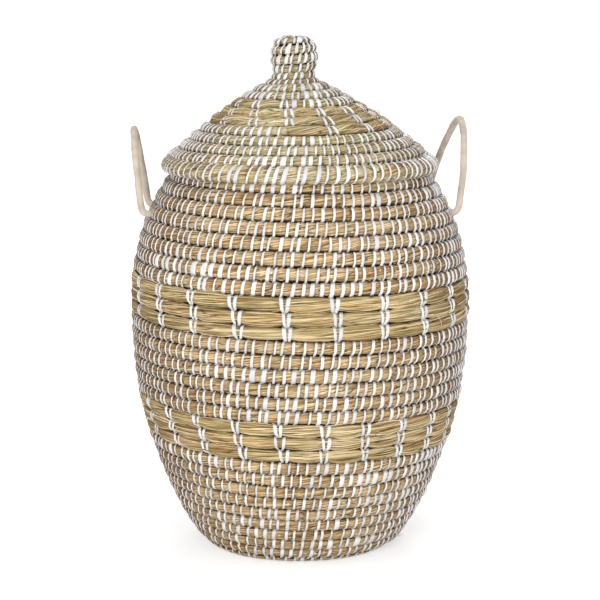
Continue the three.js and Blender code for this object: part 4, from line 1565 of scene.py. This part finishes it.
@dataclass
class Lid:
    """The lid: a knob and a conical crown of one coil, a fat edge coil, and a locating coil underneath."""

    radius: float = 163.2 * MM
    edge_height: float = 20.5 * MM
    edge_lap: float = 6 * MM
    mouth_radius: float = 145.5 * MM
    crown_rise: float = 93.5 * MM
    crown_fullness: float = 1.3
    settled: float = 3 * MM
    crown_lean: float = 7 * MM
    knob_radius: float = 28 * MM
    knob_neck_radius: float = 24.5 * MM
    knob_foot_radius: float = 30 * MM
    knob_height: float = 58 * MM
    knob_thickness: float = 11 * MM
    knob_shoulder: float = 10 * MM
    knob_shoulder_drop: float = 14 * MM
    knob_belly_drop: float = 23 * MM
    knob_neck_height: float = 18.5 * MM
    knob_flare: float = 2.5 * MM
    knob_flare_height: float = 7.5 * MM
    knob_eye_radius: float = 1.5 * MM
    row_thickness: float = 14 * MM
    knob_rows: int = 7
    crown_rows: int = 9
    seam: float = math.radians(-6)
    seat_gap: float = 0.3 * MM
    locating_width: float = 13 * MM
    crown_overhang: float = 5 * MM
    crown_lift: float = 1.2 * MM
    tuck: float = 0.45
    seed: float = 8.0
    unevenness: float = 0.35 * MM
    edge_out: float = 0.9 * MM
    edge_low: float = 0.3 * MM
    edge_half_width: float = 11.6 * MM
    edge_half_depth: float = 8.3 * MM
    edge_slope: float = math.radians(38)
    ring_swell: float = 0.3 * MM

    def __post_init__(self) -> None:
        """Works out the edge coil's section, the meridian and the coil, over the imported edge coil's foot."""
        self.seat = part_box("lid_edge_coil")[0].z - self.settled
        self.edge_width = self.radius - self.mouth_radius + self.edge_lap
        self.edge_centre = np.array([self.radius - self.edge_width / 2, self.seat + self.edge_height / 2])
        flat_along = np.array([self.edge_width / 4, self.edge_height / 2])
        flat_middle = self.edge_centre + np.array([-3 * self.edge_width / 8, self.edge_height / 4])
        out = unit(np.array([-flat_along[1], flat_along[0]]))
        lapped = np.array([self.crown_overhang, self.crown_lift])
        self.crown_edge = flat_middle + self.seat_gap * out + lapped
        self.meridian = self.make_meridian()
        last = self.knob_rows + self.crown_rows + self.tuck
        handwork = Handwork(wander=self.unevenness, swell=self.unevenness)
        self.coil = Coil(
            self.meridian, self.seam, self.half_thickness, handwork, 0.0, last, self.seed, lean=self.lean)

    def half_thickness(self, row: Array) -> Array:
        """Half the thickness of the lid's wall, which grows from the knob's to the crown's."""
        share = smoothstep(row, self.knob_rows - 1, self.knob_rows + 1)
        return (self.knob_thickness + (self.row_thickness - self.knob_thickness) * share) / 2

    def lean(self, height: Array) -> Array:
        """How far the hand-made crown stands to the left: a smooth rise from the edge to its top."""
        low = self.crown_edge[1]
        return self.crown_lean * smoothstep(height, low, low + self.crown_rise)

    def make_meridian(self) -> Meridian:
        """The middle of the lid's wall: the knob's curve, then the crown, whose height falls from its top by
        a power of the radius over the edge's radius.

        Returns:
            The meridian, from the middle of the knob to the crown's foot.
        """
        past = self.tuck / self.crown_rows * (self.crown_edge[0] - self.knob_foot_radius)
        radii = np.linspace(self.knob_foot_radius, self.crown_edge[0] + past, 600)
        fallen = (radii / self.crown_edge[0]) ** self.crown_fullness
        crown = np.stack([radii, self.crown_edge[1] + self.crown_rise * (1 - fallen)], axis=-1)
        foot = crown[0]
        half = self.knob_thickness / 2
        top = foot[1] + self.knob_height - half
        side = self.knob_radius - half
        neck = self.knob_neck_radius - half
        knots = np.array([
            (self.knob_eye_radius, top),
            (side - self.knob_shoulder, top),
            (side - self.knob_shoulder / 4, top - self.knob_shoulder_drop / 3),
            (side, top - self.knob_shoulder_drop),
            (side, top - self.knob_belly_drop),
            (neck, foot[1] + self.knob_neck_height),
            (neck + self.knob_flare, foot[1] + self.knob_flare_height),
            tuple(foot),
        ])
        knob = catmull_rom(knots, 40)
        return Meridian.through(
            [(knob[:-1], self.knob_rows), (crown, self.crown_rows + self.tuck)], 0.0, -1.0)

    def zones(self) -> list[SewnZone]:
        """The lid's stitched zones, from the middle of the knob to the crown's foot."""
        close, loose = Sewing.CLOSE, Sewing.COLUMNS
        last = self.knob_rows + self.crown_rows + 0.98
        zone = partial(SewnZone, self.coil, slant=-4.2 * MM, grain=-SewnZone.GRAIN)
        return [
            zone("knob_coil", 0.25, 7.0, close, 21, spacing=7.4 * MM),
            zone("lid_inner_coil", 7.0, 10.0, close, 22, spacing=8.4 * MM),
            zone("lid_band", 10.0, 13.0, loose, 23, columns=13, first_column=math.radians(-8),
                 drift=-5 * MM, column_lean=2.5 * MM, column_width=3.4 * MM, grain=-0.7),
            zone("lid_outer_coil", 13.0, last, close, 24, spacing=9.6 * MM),
        ]

    def rings(self) -> list[SewnZone]:
        """The lid's edge coil and its locating coil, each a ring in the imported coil's place."""
        low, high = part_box("lid_locating_coil")
        depth = self.locating_width / 2
        edge = Ring(
            self.edge_centre[0] + self.edge_out, self.edge_centre[1] - self.edge_low, self.edge_half_width,
            self.edge_half_depth, self.ring_swell, 31.0, self.edge_slope)
        locating = Ring(
            high.x - depth, (low.z + high.z) / 2, (high.z - low.z) / 2, depth, self.ring_swell, 32.0)
        return [
            SewnZone(edge, "lid_edge_coil", 0.0, 1.0, Sewing.CLOSE, 31, slant=10 * MM, grain=-0.19),
            SewnZone(locating, "lid_locating_coil", 0.0, 1.0, Sewing.CLOSE, 32),
        ]

    def build(self, palette: Palette) -> None:
        """Makes the lid's rows and strips, its edge coil and its locating coil.

        Args:
            palette: The hamper's finishes.
        """
        for zone in self.zones() + self.rings():
            blades = 0 if zone.node == "lid_locating_coil" else 100
            zone.build(palette, Body.LID, palette.lid_straw, palette.pale_blade, blades, 12)


@dataclass
class RopeHandle:
    """A loop of rope that stands up from the wall, its two ends knotted inside the basket."""

    body: Body
    azimuth: float
    height: float
    lean: float
    nodes: tuple[str, ...]
    diameter: float = 8.2 * MM
    foot_radius: float = 186 * MM
    foot_height: float = 397.5 * MM
    half_angle: float = math.radians(21.5)
    end_radius: float = 131 * MM
    pinch: float = 0.33
    knot_radius: float = 153 * MM
    knot_coil_radius: float = 5.2 * MM
    knot_length: float = 11 * MM
    knot_turns: float = 2.4
    bend: float = 9 * MM
    step: float = 1.1 * MM
    blend_start: float = -3 * MM
    blend_length: float = 14 * MM

    def outward_at(self, azimuth: float) -> Array:
        """The level unit direction away from the basket's axis at an azimuth."""
        return np.array([math.sin(azimuth), -math.cos(azimuth), 0.0])

    def path(self) -> Array:
        """The rope's middle line: in from one tag end, half an ellipse up and over, and in to the other end.

        The half ellipse stands on its two feet in the wall, leans outwards, and is pinched by the square of
        the sine of its turn. The corners at the feet are rounded by averaging over twice the bend.

        Returns:
            Places at even steps along the rope.
        """
        outward, across = self.outward_at(self.azimuth), self.outward_at(self.azimuth + math.pi / 2)
        middle = outward * self.foot_radius * math.cos(self.half_angle) + np.array([0, 0, self.foot_height])
        half_span = self.foot_radius * math.sin(self.half_angle)
        up = outward * math.sin(self.lean) + np.array([0, 0, math.cos(self.lean)])
        turn = np.linspace(0, math.pi, 400)[:, None]
        span = half_span * np.cos(turn) * (1 - self.pinch * np.sin(turn) ** 2)
        loop = middle + across * span + up * self.height * np.sin(turn)
        ends = []
        for side in (1, -1):
            radial = self.outward_at(self.azimuth + side * self.half_angle)
            radii = np.linspace(self.end_radius, self.foot_radius, 60)[:-1, None]
            ends.append(radial * radii + np.array([0, 0, self.foot_height]))
        line = np.concatenate([ends[0], loop, ends[1][::-1]])
        lengths = lengths_along(line)
        even = np.arange(0, lengths[-1], self.step)
        line = np.stack([np.interp(even, lengths, line[:, i]) for i in range(3)], axis=-1)
        window = 2 * int(self.bend / self.step) + 1
        padded = np.concatenate([
            2 * line[0] - line[window // 2:0:-1], line, 2 * line[-1] - line[-2:-window // 2 - 1:-1]])
        sums = np.cumsum(np.concatenate([np.zeros((1, 3)), padded]), axis=0)
        return (sums[window:] - sums[:-window]) / window

    def build(self, palette: Palette) -> None:
        """Makes the rope and its knots.

        Args:
            palette: The hamper's finishes.
        """
        made = swept_rope(self.path(), self.diameter / 2).build(self.body.value + "_rope")
        made.data.materials.append(palette.rope)
        outward = Vector(self.outward_at(self.azimuth))
        start = outward * (self.foot_radius * math.cos(self.half_angle) + self.blend_start)
        start.z = self.foot_height + self.blend_start
        end = start + (outward + Vector((0, 0, 1))) * self.blend_length
        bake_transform(made, Body.BASKET.value, self.body.value, start, end)
        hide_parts(*self.nodes)
        for side, place in ((1, "back"), (-1, "front")):
            knot = swept_rope(self.knot_line(side), self.diameter / 2)
            dress(knot.build(f"{self.body.value}_{place}_knot"), palette.rope, Body.BASKET)

    def knot_line(self, side: int) -> Array:
        """The middle line of a stopper knot: a helix round the rope's end whose radius swells from nothing to
        its full size and back, by the square root of the sine of its share.

        Args:
            side: 1 or -1, for the end at the larger or the smaller azimuth.

        Returns:
            Places along the knot's rope, about evenly spaced.
        """
        azimuth = self.azimuth + side * self.half_angle
        radial, level = self.outward_at(azimuth), self.outward_at(azimuth + math.pi / 2)
        upright = np.array([0, 0, 1.0])
        share = np.linspace(0.004, 0.996, 110)[:, None]
        swell = self.knot_coil_radius * np.sqrt(np.sin(math.pi * share))
        turn = TURN * self.knot_turns * share
        middle = radial * (self.knot_radius + self.knot_length * (share - 0.5)) + upright * self.foot_height
        return middle + swell * (np.cos(turn) * level + np.sin(turn) * upright)


def swept_rope(line: Array, radius: float, sides: int = 20, plait_depth: float = 0.35 * MM,
               plaits: int = 3, lay: float = 1.9) -> MeshData:
    """A braided rope along a line.

    The frame of each station is carried from the last one with the least twist. The section's radius rises
    and falls by the larger of two waves, which wind round the rope in opposite directions, and it closes at
    both ends by the square root of the length from the end over the radius.

    Args:
        line: Places along the rope's middle, evenly spaced, shaped (count, 3).
        radius: The rope's radius.
        sides: Places round its section.
        plait_depth: How far the plaits stand out.
        plaits: Waves round the section.
        lay: The length over which a plait winds on by a radian, in radii.

    Returns:
        The rope's mesh.
    """
    ahead = unit(np.gradient(line, axis=0))
    side = np.zeros_like(ahead)
    current = np.cross(ahead[0], (0.31, 0.17, 0.94))
    for i, way in enumerate(ahead):
        current = unit(current - way * (current @ way))
        side[i] = current
    other = np.cross(ahead, side)
    lengths = lengths_along(line)
    angle = TURN * np.arange(sides) / sides
    wind = lengths[:, None] / (lay * radius)
    plait = np.maximum(np.sin(plaits * angle + wind), np.sin(plaits * angle - wind))
    rounding = np.sqrt(np.clip(np.minimum(lengths, lengths[-1] - lengths) / radius, 0.04, 1))
    reach = (radius + plait_depth * (plait - 0.6)) * rounding[:, None]
    points = line[:, None] + reach[..., None] * (
        np.cos(angle)[None, :, None] * side[:, None] + np.sin(angle)[None, :, None] * other[:, None])
    around = np.broadcast_to(TURN * radius * np.arange(sides + 1) / sides, (1, len(line), sides + 1))
    return closed_tubes(points[None], lengths[None], around, {})


@dataclass
class Studio:
    """The camera, the pale floor and the soft light.

    The floor's glow is a distance from the middle and the strength there, near the hamper and far from it.
    """

    distance: float = 2.261
    elevation: float = math.radians(10)
    aim_height: float = 0.289
    lens: float = 114.0
    sensor: float = 36.0
    floor_size: float = 6.0
    floor_drop: float = 0.2 * MM
    floor_colour: str = "#e6e6e6"
    near_glow: tuple[float, float] = (0.3, 0.5)
    far_glow: tuple[float, float] = (1.5, 0.85)
    room_light: float = 0.5
    lamp_aim: float = 0.3

    def build_camera(self) -> None:
        """Puts the camera where the photograph was taken from: in front, a little above the rim."""
        data = bpy.data.cameras.new("camera")
        data.lens = self.lens
        data.sensor_width = self.sensor
        camera = new_object("camera", data)
        camera.location = (
            0.0, -self.distance * math.cos(self.elevation),
            self.aim_height + self.distance * math.sin(self.elevation))
        point_at(camera, Vector((0.0, 0.0, self.aim_height)))
        bpy.context.scene.camera = camera

    def build_floor(self) -> None:
        """Lays a pale floor that reads white to the camera and keeps the hamper's soft shadow."""
        mesh = bpy.data.meshes.new("floor")
        corners = [
            (x * self.floor_size, y * self.floor_size, -self.floor_drop)
            for x, y in ((-1, -1), (1, -1), (1, 1), (-1, 1))]
        mesh.from_pydata(corners, [], [(0, 1, 2, 3)])
        made, tree = new_material("white studio floor")
        # Away from the hamper the floor glows more, so that no far edge shows against the white world.
        place = add_node(tree, "TexCoord").outputs["Object"]
        distance = add_node(tree, "VectorMath", {0: place}, operation="LENGTH").outputs["Value"]
        level = add_node(
            tree, "MapRange",
            {"Value": distance, "From Min": self.near_glow[0], "From Max": self.far_glow[0],
             "To Min": self.near_glow[1], "To Max": self.far_glow[1]}).outputs[0]
        strength = add_node(tree, "Math", {0: seen_directly(tree), 1: level}, operation="MULTIPLY").outputs[0]
        glow = add_node(tree, "Emission", {"Color": linear("#ffffff"), "Strength": strength})
        matt = add_node(tree, "BsdfDiffuse", {"Color": linear(self.floor_colour)})
        both = add_node(tree, "AddShader", {0: matt.outputs[0], 1: glow.outputs[0]})
        add_node(tree, "OutputMaterial", {"Surface": both.outputs[0]})
        mesh.materials.append(made)
        new_object("floor", mesh)

    def build_light(self) -> None:
        """Lights the hamper from large soft lamps at a plain level, in a world that the camera sees white."""
        scene = bpy.context.scene
        world = bpy.data.worlds.new("studio")
        scene.world = world
        world.use_nodes = True
        tree = world.node_tree
        tree.nodes.clear()
        room, white = [
            add_node(tree, "Background", {"Color": linear("#ffffff"), "Strength": strength}).outputs[0]
            for strength in (self.room_light, 1.0)]
        mixed = add_node(tree, "MixShader", {0: seen_directly(tree), 1: room, 2: white})
        add_node(tree, "OutputWorld", {"Surface": mixed.outputs[0]})
        # Each lamp's name, place and size in metres, and power in watts.
        lamps = (
            ("key", (-0.8, -2.5, 0.8), 1.1, 35.0),
            ("fill", (0.9, -2.5, 0.35), 1.1, 22.0),
            ("left", (-2.4, -0.7, 0.7), 1.1, 5.5),
            ("right", (2.4, -0.7, 0.7), 1.1, 6.5),
            ("back", (0.3, 2.6, 1.0), 1.4, 22.0),
            ("top", (0.1, 0.0, 2.4), 1.4, 13.0),
        )
        for name, place, size, power in lamps:
            data = bpy.data.lights.new(name, "AREA")
            data.shape = "DISK"
            data.size = size
            data.energy = power
            lamp = new_object(name, data)
            lamp.location = place
            point_at(lamp, Vector((0.0, 0.0, self.lamp_aim)))
        scene.view_settings.view_transform = "Standard"


def main() -> None:
    """Builds the hamper, piece by piece, in its studio."""
    logging.basicConfig(level=logging.INFO, format="%(name)s: %(message)s")
    studio = Studio()
    studio.build_camera()
    studio.build_floor()
    studio.build_light()
    palette = Palette()
    Basket().build(palette)
    Lid().build(palette)
    left = ("handle_left", "rope_end_left_front", "rope_end_left_back")
    right = ("handle_right", "rope_end_right_front", "rope_end_right_back")
    RopeHandle(
        Body.LEFT_HANDLE, math.radians(-90), 97 * MM, math.radians(7.2), left, foot_radius=188 * MM,
        half_angle=math.radians(14)).build(palette)
    RopeHandle(
        Body.RIGHT_HANDLE, math.radians(101.5), 106 * MM, math.radians(11.5), right).build(palette)


if __name__ == "__main__":
    main()
